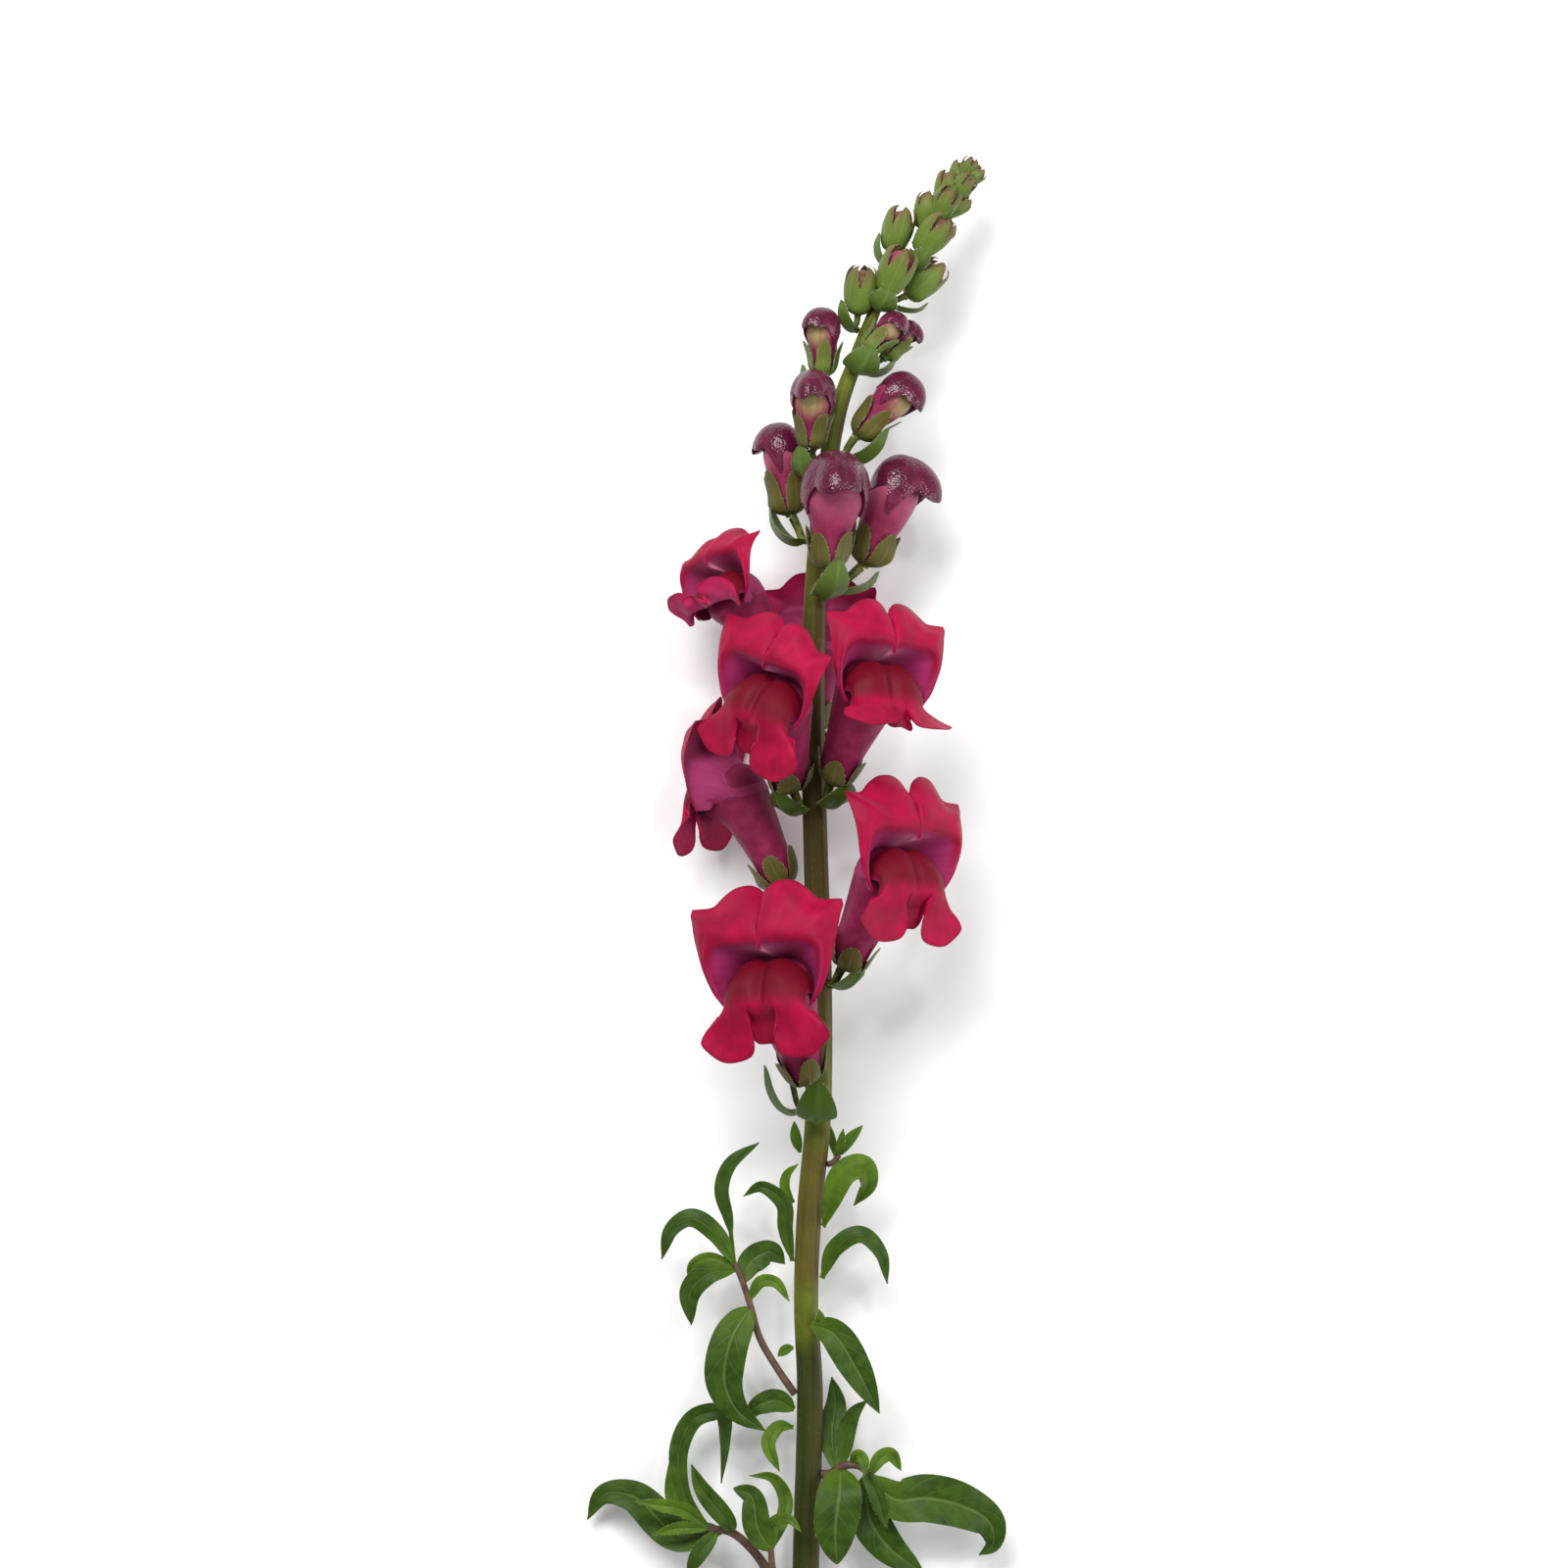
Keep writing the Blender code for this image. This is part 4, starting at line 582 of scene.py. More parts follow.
# Leafy shoots: the stalk's points with radii, then the leaves on it
SHOOTS = {
    "shoot_top_tuft": ((
        (11.1, -97.5, 19.5, 0.8), (12.4, -97.2, 19.0, 0.8), (14.2, -95.2, 18.6, 0.7),
    ), (
        leaf(1.5, (13.6, -95.6, 18.6), (16.5, -91.5, 19.5), (20.2, -87.6, 19)),
        leaf(1.0, (13.2, -95.6, 18.4), (12.4, -91.5, 18.2), (11.8, -87.6, 17.6)),
        leaf(1.1, (13.8, -95.6, 18.8), (14.6, -91.8, 20.4), (15.2, -88.4, 21)),
    )),
    "shoot_left": ((
        (2.7, -157, 14.4, 1.0), (-1.2, -151.2, 15.6, 0.95), (-6.2, -142.5, 17, 0.9), (-8.7, -133.7, 18.5, 0.85),
        (-11.2, -126.2, 19.5, 0.8), (-13, -122.5, 20, 0.7),
    ), (
        leaf(2.3, (-12.7, -123, 20), (-14, -111.5, 20.5), (-15.6, -103.7, 21.5), (-13.4, -97.2, 22.5),
             (-6.4, -91.8, 22), face=(-0.6, 0, 0.8), fold=0.3, petiole=0.2),
        leaf(2.8, (-12.8, -123, 20), (-17.5, -115.5, 21.5), (-23.7, -111.4, 22), (-28.7, -114.4, 20.5),
             (-31.4, -122, 18), face=(0, 0.6, 0.8), fold=0.3),
        leaf(1.4, (-12.4, -123.4, 19.5), (-19.5, -121.5, 19), (-23.5, -123.6, 18), (-24.2, -129, 16)),
        leaf(3.0, (-12.1, -124.4, 19.6), (-19.5, -125.6, 21), (-24.0, -130, 20), (-23.8, -139, 17),
             face=(0.2, 0.3, 0.9), fold=0.25, wave=0.1),
        leaf(3.5, (-10.6, -128, 19.2), (-8.5, -122.8, 18), (-3.5, -120.2, 17), (0.2, -123.4, 15.5), wave=0.12),
        leaf(1.6, (-9, -132.6, 18.7), (-5.8, -127.4, 21), (-2.2, -127.6, 21.5), (1.4, -132.4, 22.5)),
        leaf(5.2, (-8.8, -134.5, 18.6), (-13.6, -142.5, 21.5), (-15.2, -153, 21.5), (-12, -160.5, 20),
             (-4.8, -166.2, 17.5), face=(-0.2, 0, 1), fold=0.15, wave=0.12, waves=2, shape=(0.5, 0.9)),
    )),
    "shoot_right": ((
        (9.8, -178, 12.2, 1.2), (12, -177.8, 12.8, 1.2), (15.4, -175.4, 14.5, 1.1), (19.5, -175.5, 15, 1.0),
        (22.6, -178.5, 15.4, 0.9),
    ), (
        leaf(3.4, (13.2, -176.8, 13.8), (12.4, -167.5, 9.5), (13.4, -160, 7), (12.4, -153.6, 6), wave=0.1),
        leaf(2.4, (15.2, -175.2, 14.5), (16.2, -166, 15), (18.2, -161.5, 15.5), (21.4, -158.6, 15), fold=0.3),
        leaf(1.6, (17.5, -175.4, 14.8), (19, -172.4, 18), (20.4, -173.5, 19), (20.6, -177.5, 20)),
        leaf(6.0, (14.6, -176.2, 14.3), (14.2, -182.5, 19.5), (13.2, -191, 20), (13.6, -200.5, 17), fold=0.1,
             wave=0.1, waves=2, shape=(0.55, 0.75)),
        leaf(2.1, (20.4, -176, 15.2), (23.6, -182, 17.2), (26.4, -191.4, 16), fold=0.3),
        leaf(1.9, (22, -178, 15.4), (24.8, -173.4, 15), (27.4, -172.6, 14), (30.2, -177, 12.5), fold=0.3),
        leaf(6.2, (22.3, -178.4, 15.4), (28.5, -184, 15.5), (37, -183.8, 15), (46, -186, 14), (53, -190.5, 11.5),
             (54, -196.5, 9), (50.5, -199.5, 7.5), face=(0, 0.15, 1), fold=0.15, wave=0.1, waves=3,
             shape=(0.6, 0.9)),
        leaf(5.0, (21.4, -177.4, 15.2), (22, -189, 11), (27, -197, 10.5), (36, -204, 8), fold=0.15, wave=0.1,
             shape=(0.6, 0.8)),
    )),
    "shoot_left_low": ((
        (1.6, -210.5, 8.4, 1.3), (-0.6, -209.6, 9, 1.3), (-3.5, -204.5, 10, 1.25), (-8.2, -197.5, 12, 1.15),
        (-13.5, -193, 13, 1.05), (-19.8, -191.6, 13.5, 0.9),
    ), (
        leaf(2.6, (-19.4, -191.7, 13.5), (-25.4, -183.5, 11), (-27, -172, 10), (-23, -163.6, 10.5),
             (-16.2, -162.4, 11.5), (-15.4, -169, 12), (-16.2, -180.5, 11), face=(-0.7, 0.2, 0.7),
             face_tip=(0.7, 0, 0.7), fold=0.3),
        leaf(1.8, (-19.2, -191.7, 13.3), (-28.5, -186, 6), (-29, -178, 5), (-27.5, -170.7, 5)),
        leaf(2.6, (-13.6, -193, 13), (-14.4, -189.6, 17), (-21, -181, 18), (-23.8, -174.8, 17.5), fold=0.3),
        leaf(4.8, (-16, -192.4, 13.2), (-27.5, -194, 9), (-39, -184.4, 7.5), (-46.6, -184, 6.5), (-51, -190.8, 4),
             face=(0, 0.3, 1), fold=0.2, shape=(0.6, 0.9)),
        leaf(1.9, (-19, -191.7, 13.6), (-26, -186.6, 15.5), (-32, -185.4, 16), (-38.4, -184.6, 15), fold=0.3),
        leaf(1.6, (-19, -191.8, 13.6), (-27, -191.4, 15), (-34, -193.4, 14), fold=0.3),
        leaf(2.2, (-17, -192.2, 13.2), (-21.5, -197.5, 15), (-25, -204, 13), fold=0.3),
    )),
    "shoot_left_low_inner": ((
        (1.4, -215.5, 7.4, 1.0), (0.2, -215, 8.6, 1.0), (-1.4, -210, 13, 0.95), (-3, -202, 15.5, 0.9),
        (-3.4, -196.5, 16, 0.8),
    ), (
        leaf(3.6, (-3.3, -197, 16), (-6.8, -190.6, 19), (-8.4, -182.6, 19.5), (-13, -180.8, 18), fold=0.15,
             wave=0.1, shape=(0.5, 0.7)),
        leaf(1.7, (-3.4, -197.5, 16), (-2.4, -189.5, 18.5), (1.2, -188.4, 20), (4.4, -191.5, 21.5)),
        leaf(1.9, (-3.4, -197.3, 15.8), (0.4, -185, 10), (-3, -179.2, 10), (-9, -178.8, 9)),
    )),
    "leaves_near_cut": ((
        (9.3, -213.5, 8.2, 1.0), (11.0, -213.2, 8.8, 0.9), (13.5, -210.5, 10, 0.8),
    ), (
        leaf(3.4, (12, -212, 9.7), (18.4, -210.5, 9), (25.5, -212.6, 6.5), (31, -219.5, 3), fold=0.2, wave=0.1),
        leaf(1.6, (13, -211, 10), (12.6, -207, 12.5), (9.6, -204.6, 17), (6.4, -206.6, 18)),
    )),
}


def settings():
    return bpy.context.scene.snapdragon


def stage_settings():
    return bpy.context.scene.snapdragon_stage


def new_object(name, data):
    """An object in the scene."""
    made = bpy.data.objects.new(name, data)
    bpy.context.scene.collection.objects.link(made)
    return made


# Meshes

SURFACE_GAP = 0.02  # least height of a visible point over the surface
THIN_EDGE = 0.5  # thickness at a sheet's free edge, as a share of the whole
CREASE = math.radians(55)
HAIR_SIDE = np.array([0.31, 0.17, 0.94])  # sets how a hair's three sides are turned


def soft_folds(u, v):
    """The gentle unevenness of a petal's free part: 0 at its root and up to about 1 at its edge."""
    run = np.clip((v - 0.5) / 0.3, 0, 1)
    long = np.sin(23 * u + 2.2 * np.sin(7 * v)) * np.sin(6 * v + 4 * u)
    short = np.sin(51 * u + 9 * v) * np.sin(17 * v - 13 * u + 1)
    return run * (0.7 * long + 0.3 * short)


def even_grid(faces):
    """Places u across and v along a surface, for so many faces each way."""
    v, u = np.mgrid[0 : 1 : (faces[1] + 1) * 1j, 0 : 1 : (faces[0] + 1) * 1j]
    return u, v


def normals(middle):
    return unit(np.cross(np.gradient(middle, axis=1), np.gradient(middle, axis=0)))


class Piece:
    """Gathers the points and faces of one piece, which has the finishes named. Marks at each point say where it is
    on its sheet, for the materials."""

    # the first tint carries a piece's own darker tone and also painted shade
    TINTS = ("tone", "blush", "glow")
    MARKS = ("along", "across", "under", *TINTS)

    def __init__(self, *finishes):
        self.finishes = finishes
        self.points = []
        self.faces = []
        self.looks = []
        self.marks = {name: [] for name in self.MARKS}
        self.count = 0

    def take(self, points, faces, finish, **marks):
        """Adds points and faces with one finish. Faces count their points from the first of these."""
        points[:, 2] = np.maximum(points[:, 2], SURFACE_GAP)
        self.points.append(points)
        self.faces.extend(part + self.count for part in faces)
        self.looks.extend(np.full(len(part), self.finishes.index(finish)) for part in faces)
        for name in self.MARKS:
            self.marks[name].append(np.broadcast_to(marks.get(name, 0.0), len(points)))
        self.count += len(points)

    def sheet(self, surface, faces, thickness, finish, tint=None, turned=False, crumple=0.0):
        """A petal or a leaf: both faces of surface(u, v) and the rim between them, thinner towards its free edges.
        turned swaps the faces marked as its upper side and its underside, and crumple deepens its soft folds."""
        u, v = even_grid(faces)
        shape, count = u.shape, u.size
        middle = surface(u.ravel(), v.ravel()).reshape(*shape, 3)
        normal = normals(middle)
        if crumple:
            middle = middle + normal * (crumple * soft_folds(u, v))[:, :, None]
            normal = normals(middle)
        free = np.clip(np.minimum(np.minimum(u, 1 - u), 1 - v) * 7, 0, 1)
        half = (0.5 * thickness * (THIN_EDGE + (1 - THIN_EDGE) * free))[:, :, None]
        points = np.concatenate([(middle + normal * half).reshape(-1, 3), (middle - normal * half).reshape(-1, 3)])
        index = np.arange(count).reshape(shape)
        top = np.stack([index[:-1, :-1], index[:-1, 1:], index[1:, 1:], index[1:, :-1]], axis=-1).reshape(-1, 4)
        loop = np.concatenate([index[0, :-1], index[:-1, -1], index[-1, :0:-1], index[:0:-1, 0]])
        ahead = np.roll(loop, -1)
        rim = np.stack([loop, loop + count, ahead + count, ahead], axis=1)
        u, v = u.ravel(), v.ravel()
        tints = [np.tile(np.broadcast_to(value, count), 2) for value in (tint(u, v) if tint else ())]
        self.take(
            points, [top, top[:, ::-1] + count, rim], finish,
            along=np.tile(v, 2), across=np.tile(u, 2),
            under=np.repeat([1.0, 0.0] if turned else [0.0, 1.0], count), **dict(zip(self.TINTS, tints)),
        )

    def closed(self, surface, faces, finish, tint=None):
        """A closed form: u goes round it and v from one end to the other, where it comes to a point."""
        u, v = even_grid(faces)
        u, v = u[:, :-1], v[:, :-1]
        points = surface(u.ravel(), v.ravel())
        grid = np.arange(u.size).reshape(u.shape)
        grid[0] = grid[0, 0]
        grid[-1] = grid[-1, 0]
        right = np.roll(grid, -1, axis=1)
        quads = np.stack([grid[1:-2], right[1:-2], right[2:-1], grid[2:-1]], axis=-1).reshape(-1, 4)
        first = np.stack([np.roll(grid[1], -1), grid[1], grid[0]], axis=-1)
        last = np.stack([grid[-2], np.roll(grid[-2], -1), grid[-1]], axis=-1)
        kept = np.unique(grid)
        number = np.zeros(u.size, int)
        number[kept] = np.arange(len(kept))
        made = [number[quads], number[first], number[last]]
        points, u, v = points[kept], u.ravel()[kept], v.ravel()[kept]
        if self.turned_in(points - points.mean(0), made[0]):
            made = [part[:, ::-1] for part in made]
        tints = dict(zip(self.TINTS, tint(u, v) if tint else ()))
        self.take(points, made, finish, along=v, across=u, **tints)

    @staticmethod
    def turned_in(points, quads):
        """Whether the faces of a closed form look inwards."""
        a, b, c, d = (points[quads[:, k]] for k in range(4))
        return (np.einsum("ij,ij->i", a, np.cross(b, c)) + np.einsum("ij,ij->i", a, np.cross(c, d))).sum() < 0

    def hairs(self, roots, ways, lengths, width):
        """Fine hairs, each a closed spike of four faces."""
        side = unit(np.cross(ways, HAIR_SIDE))
        other = np.cross(ways, side)
        corners = []
        for turn in (0, 2 * math.pi / 3, 4 * math.pi / 3):
            corners.append(roots + width * (math.cos(turn) * side + math.sin(turn) * other))
        points = np.stack([*corners, roots + ways * lengths[:, None]], axis=1).reshape(-1, 3)
        step = 4 * np.arange(len(roots))[:, None, None]
        spike = np.array([[0, 1, 3], [1, 2, 3], [2, 0, 3], [2, 1, 0]])
        self.take(points, [(step + spike).reshape(-1, 3)], "hair", along=np.tile([0.0, 0, 0, 1], len(roots)))

    def build(self, node):
        """Makes the object, attaches it to the root body and hides the solid that it stands for."""
        name = "look_" + node
        mesh = bpy.data.meshes.new(name)
        points = (np.concatenate(self.points) - FRAME_SHIFT) * MM
        sizes = np.concatenate([np.full(len(part), part.shape[1]) for part in self.faces])
        corners = np.concatenate([part.ravel() for part in self.faces])
        mesh.vertices.add(len(points))
        mesh.vertices.foreach_set("co", points.ravel())
        mesh.loops.add(len(corners))
        mesh.loops.foreach_set("vertex_index", corners.astype(np.int32))
        mesh.polygons.add(len(sizes))
        mesh.polygons.foreach_set("loop_start", (np.cumsum(sizes) - sizes).astype(np.int32))
        mesh.polygons.foreach_set("material_index", np.concatenate(self.looks).astype(np.int32))
        mesh.update(calc_edges=True)
        if mesh.validate():
            raise RuntimeError(f"{name}: a face of its mesh isn't valid")
        for mark in self.MARKS:
            layer = mesh.attributes.new(mark, "FLOAT", "POINT")
            layer.data.foreach_set("value", np.concatenate(self.marks[mark]).astype(np.float32))
        for key in self.finishes:
            mesh.materials.append(named_finish(key))
        mesh.shade_smooth()
        mesh.set_sharp_from_angle(angle=CREASE)
        obj = new_object(name, mesh)
        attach(obj, "root")
        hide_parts(node)


# Shader groups that more than one finish uses


class Wiring:
    """Short ways to add nodes to one tree. A number, a colour or an output may be given for any input."""

    def __init__(self, tree):
        self.tree = tree

    def feed(self, target, value):
        if isinstance(value, bpy.types.NodeSocket):
            self.tree.links.new(value, target)
        elif target.type == "RGBA":
            target.default_value = (*value[:3], 1.0)
        else:
            target.default_value = value

    def node(self, kind, inputs=None, **values):
        """The outputs of a new node."""
        made = self.tree.nodes.new(kind)
        for key, value in values.items():
            setattr(made, key, value)
        for key, value in (inputs or {}).items():
            self.feed(made.inputs[key], value)
        return made.outputs

    def math(self, operation, a, b=0.0):
        return self.node("ShaderNodeMath", {0: a, 1: b}, operation=operation)[0]

    def times(self, a, b):
        return self.math("MULTIPLY", a, b)

    def plus(self, a, b):
        return self.math("ADD", a, b)

    def spread(self, value, low, high, to_low=0.0, to_high=1.0):
        return self.node("ShaderNodeMapRange", {0: value, 1: low, 2: high, 3: to_low, 4: to_high}, clamp=True)[0]

    def mix(self, share, a, b):
        return self.node("ShaderNodeMix", {0: share, 6: a, 7: b}, data_type="RGBA")[2]

    def mark(self, name):
        return self.node("ShaderNodeAttribute", attribute_type="GEOMETRY", attribute_name=name)["Fac"]

    def place(self):
        return self.node("ShaderNodeTexCoord")["Object"]

    def noise(self, where, scale, detail, roughness=0.5):
        inputs = {"Vector": where, "Scale": scale, "Detail": detail, "Roughness": roughness}
        return self.node("ShaderNodeTexNoise", inputs)["Fac"]

    def group(self, name, inputs):
        return self.node("ShaderNodeGroup", inputs, node_tree=bpy.data.node_groups[name])


def new_group(name, inputs, outputs):
    """An empty group: its wiring, what it is given, and what it puts out."""
    group = bpy.data.node_groups.new(name, "ShaderNodeTree")
    for label, value in inputs.items():
        made = group.interface.new_socket(name=label, in_out="INPUT", socket_type="NodeSocketFloat")
        made.default_value = value
    for label in outputs:
        group.interface.new_socket(name=label, in_out="OUTPUT", socket_type="NodeSocketFloat")
    return Wiring(group), group.nodes.new("NodeGroupInput").outputs, group.nodes.new("NodeGroupOutput").inputs


def build_streaks():
    """Fine lines along a petal, as its veins draw them."""
    w, given, out = new_group("Petal streaks", {"Across": 0.5, "Along": 0.5, "Count": 30.0}, ("Lines", "Height"))
    side = w.times(given["Across"], given["Count"])
    run = w.times(given["Along"], w.times(given["Count"], 0.07))
    noise = w.noise(w.node("ShaderNodeCombineXYZ", {0: side, 1: run})[0], 1.0, 3.0, 0.6)
    w.feed(out["Lines"], w.spread(noise, 0.36, 0.66))
    w.feed(out["Height"], noise)


def build_mottle():
    """Soft patches, at a size in millimetres."""
    w, given, out = new_group("Mottle", {"Size": 4.0, "Sharpness": 0.5}, ("Patches",))
    noise = w.noise(w.place(), w.math("DIVIDE", 1000.0, given["Size"]), 3.0, 0.55)
    reach = w.times(w.math("SUBTRACT", 1.0, given["Sharpness"]), 0.3)
    w.feed(out["Patches"], w.spread(noise, w.math("SUBTRACT", 0.5, reach), w.plus(0.5, reach)))


def build_cells():
    """The tiny cells of a petal's or a leaf's skin, at a size in millimetres."""
    w, given, out = new_group("Skin cells", {"Size": 0.35}, ("Height",))
    inputs = {"Vector": w.place(), "Scale": w.math("DIVIDE", 1000.0, given["Size"])}
    off = w.node("ShaderNodeTexVoronoi", inputs, feature="F1")["Distance"]
    w.feed(out["Height"], w.math("SUBTRACT", 1.0, off))


def build_leaf_veins():
    """The midrib of a blade and the veins that leave it."""
    w, given, out = new_group("Leaf veins", {"Across": 0.5, "Along": 0.5, "Pairs": 7.0}, ("Midrib", "Veins"))
    off = w.math("ABSOLUTE", w.times(w.math("SUBTRACT", given["Across"], 0.5), 2.0))
    w.feed(out["Midrib"], w.spread(off, 0.03, 0.12, 1.0, 0.0))
    slant = w.math("SUBTRACT", w.times(given["Along"], given["Pairs"]), w.times(off, 1.5))
    slant = w.plus(slant, w.times(w.noise(w.place(), 180.0, 2.0), 0.35))
    near = w.math("ABSOLUTE", w.math("SUBTRACT", w.math("FRACT", slant), 0.5))
    w.feed(out["Veins"], w.spread(near, 0.0, 0.09, 1.0, 0.0))


GROUPS = (build_streaks, build_mottle, build_cells, build_leaf_veins)


# Finishes

SHEEN_ROUGHNESS = 0.35


class Finish(Wiring):
    """One material, with its constant values on the shader's own sockets, and short ways to its parts."""

    def __init__(self, name, roughness, specular, sheen=0.0, sheen_tint=(1, 1, 1)):
        self.material = bpy.data.materials.new(name)
        self.material.use_nodes = True
        super().__init__(self.material.node_tree)
        self.shader = self.tree.nodes["Principled BSDF"].inputs
        constants = {
            "Roughness": roughness,
            "Metallic": 0.0,
            "Specular IOR Level": specular,
            "Sheen Weight": sheen,
            "Sheen Roughness": SHEEN_ROUGHNESS,
            "Sheen Tint": sheen_tint,
        }
        for key, value in constants.items():
            self.feed(self.shader[key], value)

    def streaks(self, count, stretch=None):
        """Lines along the sheet, and their relief."""
        run = self.mark("along")
        if stretch:
            run = self.times(run, stretch)
        return self.group("Petal streaks", {"Across": self.mark("across"), "Along": run, "Count": count})

    def patches(self, size, sharpness):
        return self.group("Mottle", {"Size": size, "Sharpness": sharpness})["Patches"]

    def cells(self, size):
        return self.group("Skin cells", {"Size": size})["Height"]

    def colour(self, value):
        self.feed(self.shader["Base Color"], value)

    def bump(self, height, strength, distance):
        """Relief of the surface. distance is in millimetres."""
        inputs = {"Strength": strength, "Distance": distance * MM, "Height": height}
        self.feed(self.shader["Normal"], self.node("ShaderNodeBump", inputs)["Normal"])


def petal_finish(name, light, dark, palate, throat, glow, edge, back, back_vein):
    """Velvety petal: crimson lobes, a deep palate, a purple throat, and a mauve back, crimson towards its edge."""
    w = Finish(name, roughness=0.5, specular=0.12, sheen=0.04, sheen_tint=(1.0, 0.3, 0.5))
    streaks = w.streaks(count=34.0)
    patches = w.patches(size=6.0, sharpness=0.3)
    lines = w.times(streaks["Lines"], 0.35)
    face = w.mix(w.spread(patches, 0.0, 1.0, 0.15, 0.9), dark, light)
    face = w.mix(lines, face, dark)
    # the marked places take the palate's deep red: the palate itself, and painted shade on the lower lip's middle
    # lobe
    face = w.mix(w.mark("tone"), face, palate)
    inside = w.mix(w.mark("glow"), w.mix(lines, throat, dark), glow)
    face = w.mix(w.mark("blush"), face, inside)
    reverse = w.mix(w.times(streaks["Lines"], 0.3), back, back_vein)
    reverse = w.mix(w.spread(w.mark("along"), 0.55, 0.95, 0.0, 0.75), reverse, light)
    rim = w.times(w.spread(w.mark("along"), 0.965, 1.0), 0.55)
    w.colour(w.mix(rim, w.mix(w.mark("under"), face, reverse), edge))
    w.feed(w.shader["Roughness"], w.spread(patches, 0.0, 1.0, 0.46, 0.62))
    w.bump(w.plus(w.times(w.cells(size=0.3), 0.25), streaks["Height"]), strength=0.4, distance=0.14)
    return w.material


def veined_colour(w, patches, lines, light, dark, patch):
    """Patches and lines of the darker colour, a patch of another colour at the mouth, and the darker colour at the
    marked places: a darker base, and on a hood painted shade at its rim and underside.
    """
    base = w.mix(patches, dark, light)
    base = w.mix(lines, base, dark)
    base = w.mix(w.mark("blush"), base, patch)
    # on the hoods this darkening is painted shade
    w.colour(w.mix(w.mark("tone"), base, dark))


def tube_finish(name, light, dark, patch, roughness=0.5):
    """The outside of a corolla's tube, darker along its veins and towards its base, with a paler patch."""
    w = Finish(name, roughness, specular=0.14, sheen=0.06, sheen_tint=(1.0, 0.6, 0.8))
    streaks = w.streaks(count=26.0)
    patches = w.times(w.patches(size=3.0, sharpness=0.2), 0.6)
    veined_colour(w, patches, w.times(streaks["Lines"], 0.35), light, dark, patch)
    w.bump(w.plus(w.times(w.cells(size=0.3), 0.3), streaks["Height"]), strength=0.4, distance=0.12)
    return w.material


def hood_finish(name, light, dark, patch):
    """A bud's glossy hood, with small glints where its cells catch the light."""
    w = Finish(name, roughness=0.2, specular=0.36)
    patches = w.patches(size=4.0, sharpness=0.2)
    lines = w.times(w.streaks(count=40.0)["Lines"], 0.3)
    veined_colour(w, w.times(patches, 0.7), lines, light, dark, patch)
    w.bump(w.plus(w.cells(size=0.75), w.times(patches, 0.8)), strength=0.65, distance=0.2)
    return w.material


def leaf_finish(name, light, dark, under, pale, middle=None, roughness=0.45, sheen=0.0, pairs=7.0, midrib=0.4):
    """A leaf, a bract or a sepal: pale midrib, side veins, an underside, and middle where it blushes."""
    w = Finish(name, roughness, specular=0.16, sheen=sheen, sheen_tint=(0.9, 1.0, 0.7))
    veins = w.group("Leaf veins", {"Across": w.mark("across"), "Along": w.mark("along"), "Pairs": pairs})
    patches = w.patches(size=3.5, sharpness=0.25)
    base = w.mix(patches, dark, light)
    base = w.mix(w.mark("tone"), base, pale)
    base = w.mix(w.times(w.mark("under"), 0.8), base, under)
    if middle is not None:
        base = w.mix(w.mark("blush"), base, middle)
    base = w.mix(w.times(veins["Veins"], 0.3 * midrib), base, pale)
    w.colour(w.mix(w.times(veins["Midrib"], midrib), base, pale))
    w.feed(w.shader["Roughness"], w.spread(patches, 0.0, 1.0, roughness - 0.08, roughness + 0.1))
    lines = w.times(w.math("MAXIMUM", veins["Veins"], veins["Midrib"]), -0.8)
    w.bump(w.plus(w.times(w.cells(size=0.4), 0.3), lines), strength=0.5, distance=0.16)
    return w.material


def stem_finish(name, light, dark, pale, flush):
    """The main stem: green, paler towards its tip, with a brown flush and fine lengthwise ridges."""
    w = Finish(name, roughness=0.5, specular=0.14, sheen=0.03, sheen_tint=(0.95, 1.0, 0.7))
    lines = w.streaks(count=22.0, stretch=6.0)
    base = w.mix(w.times(w.patches(size=7.0, sharpness=0.4), 0.6), light, dark)
    # darkens the marked places: its dark lower end, and painted shadow between the middle blooms
    base = w.mix(w.mark("tone"), base, dark)
    base = w.mix(w.mark("blush"), base, flush)
    w.colour(w.mix(w.times(lines["Lines"], 0.1), base, pale))
    w.bump(w.plus(w.times(w.cells(size=0.4), 0.4), lines["Height"]), strength=0.25, distance=0.15)
    return w.material


def plain_finish(name, light, dark, roughness=0.5):
    """Stalks and hairs."""
    w = Finish(name, roughness, specular=0.2, sheen_tint=(1, 1, 0.95))
    w.colour(w.mix(w.patches(size=2.5, sharpness=0.3), dark, light))
    w.bump(w.cells(size=0.4), strength=0.3, distance=0.08)
    return w.material


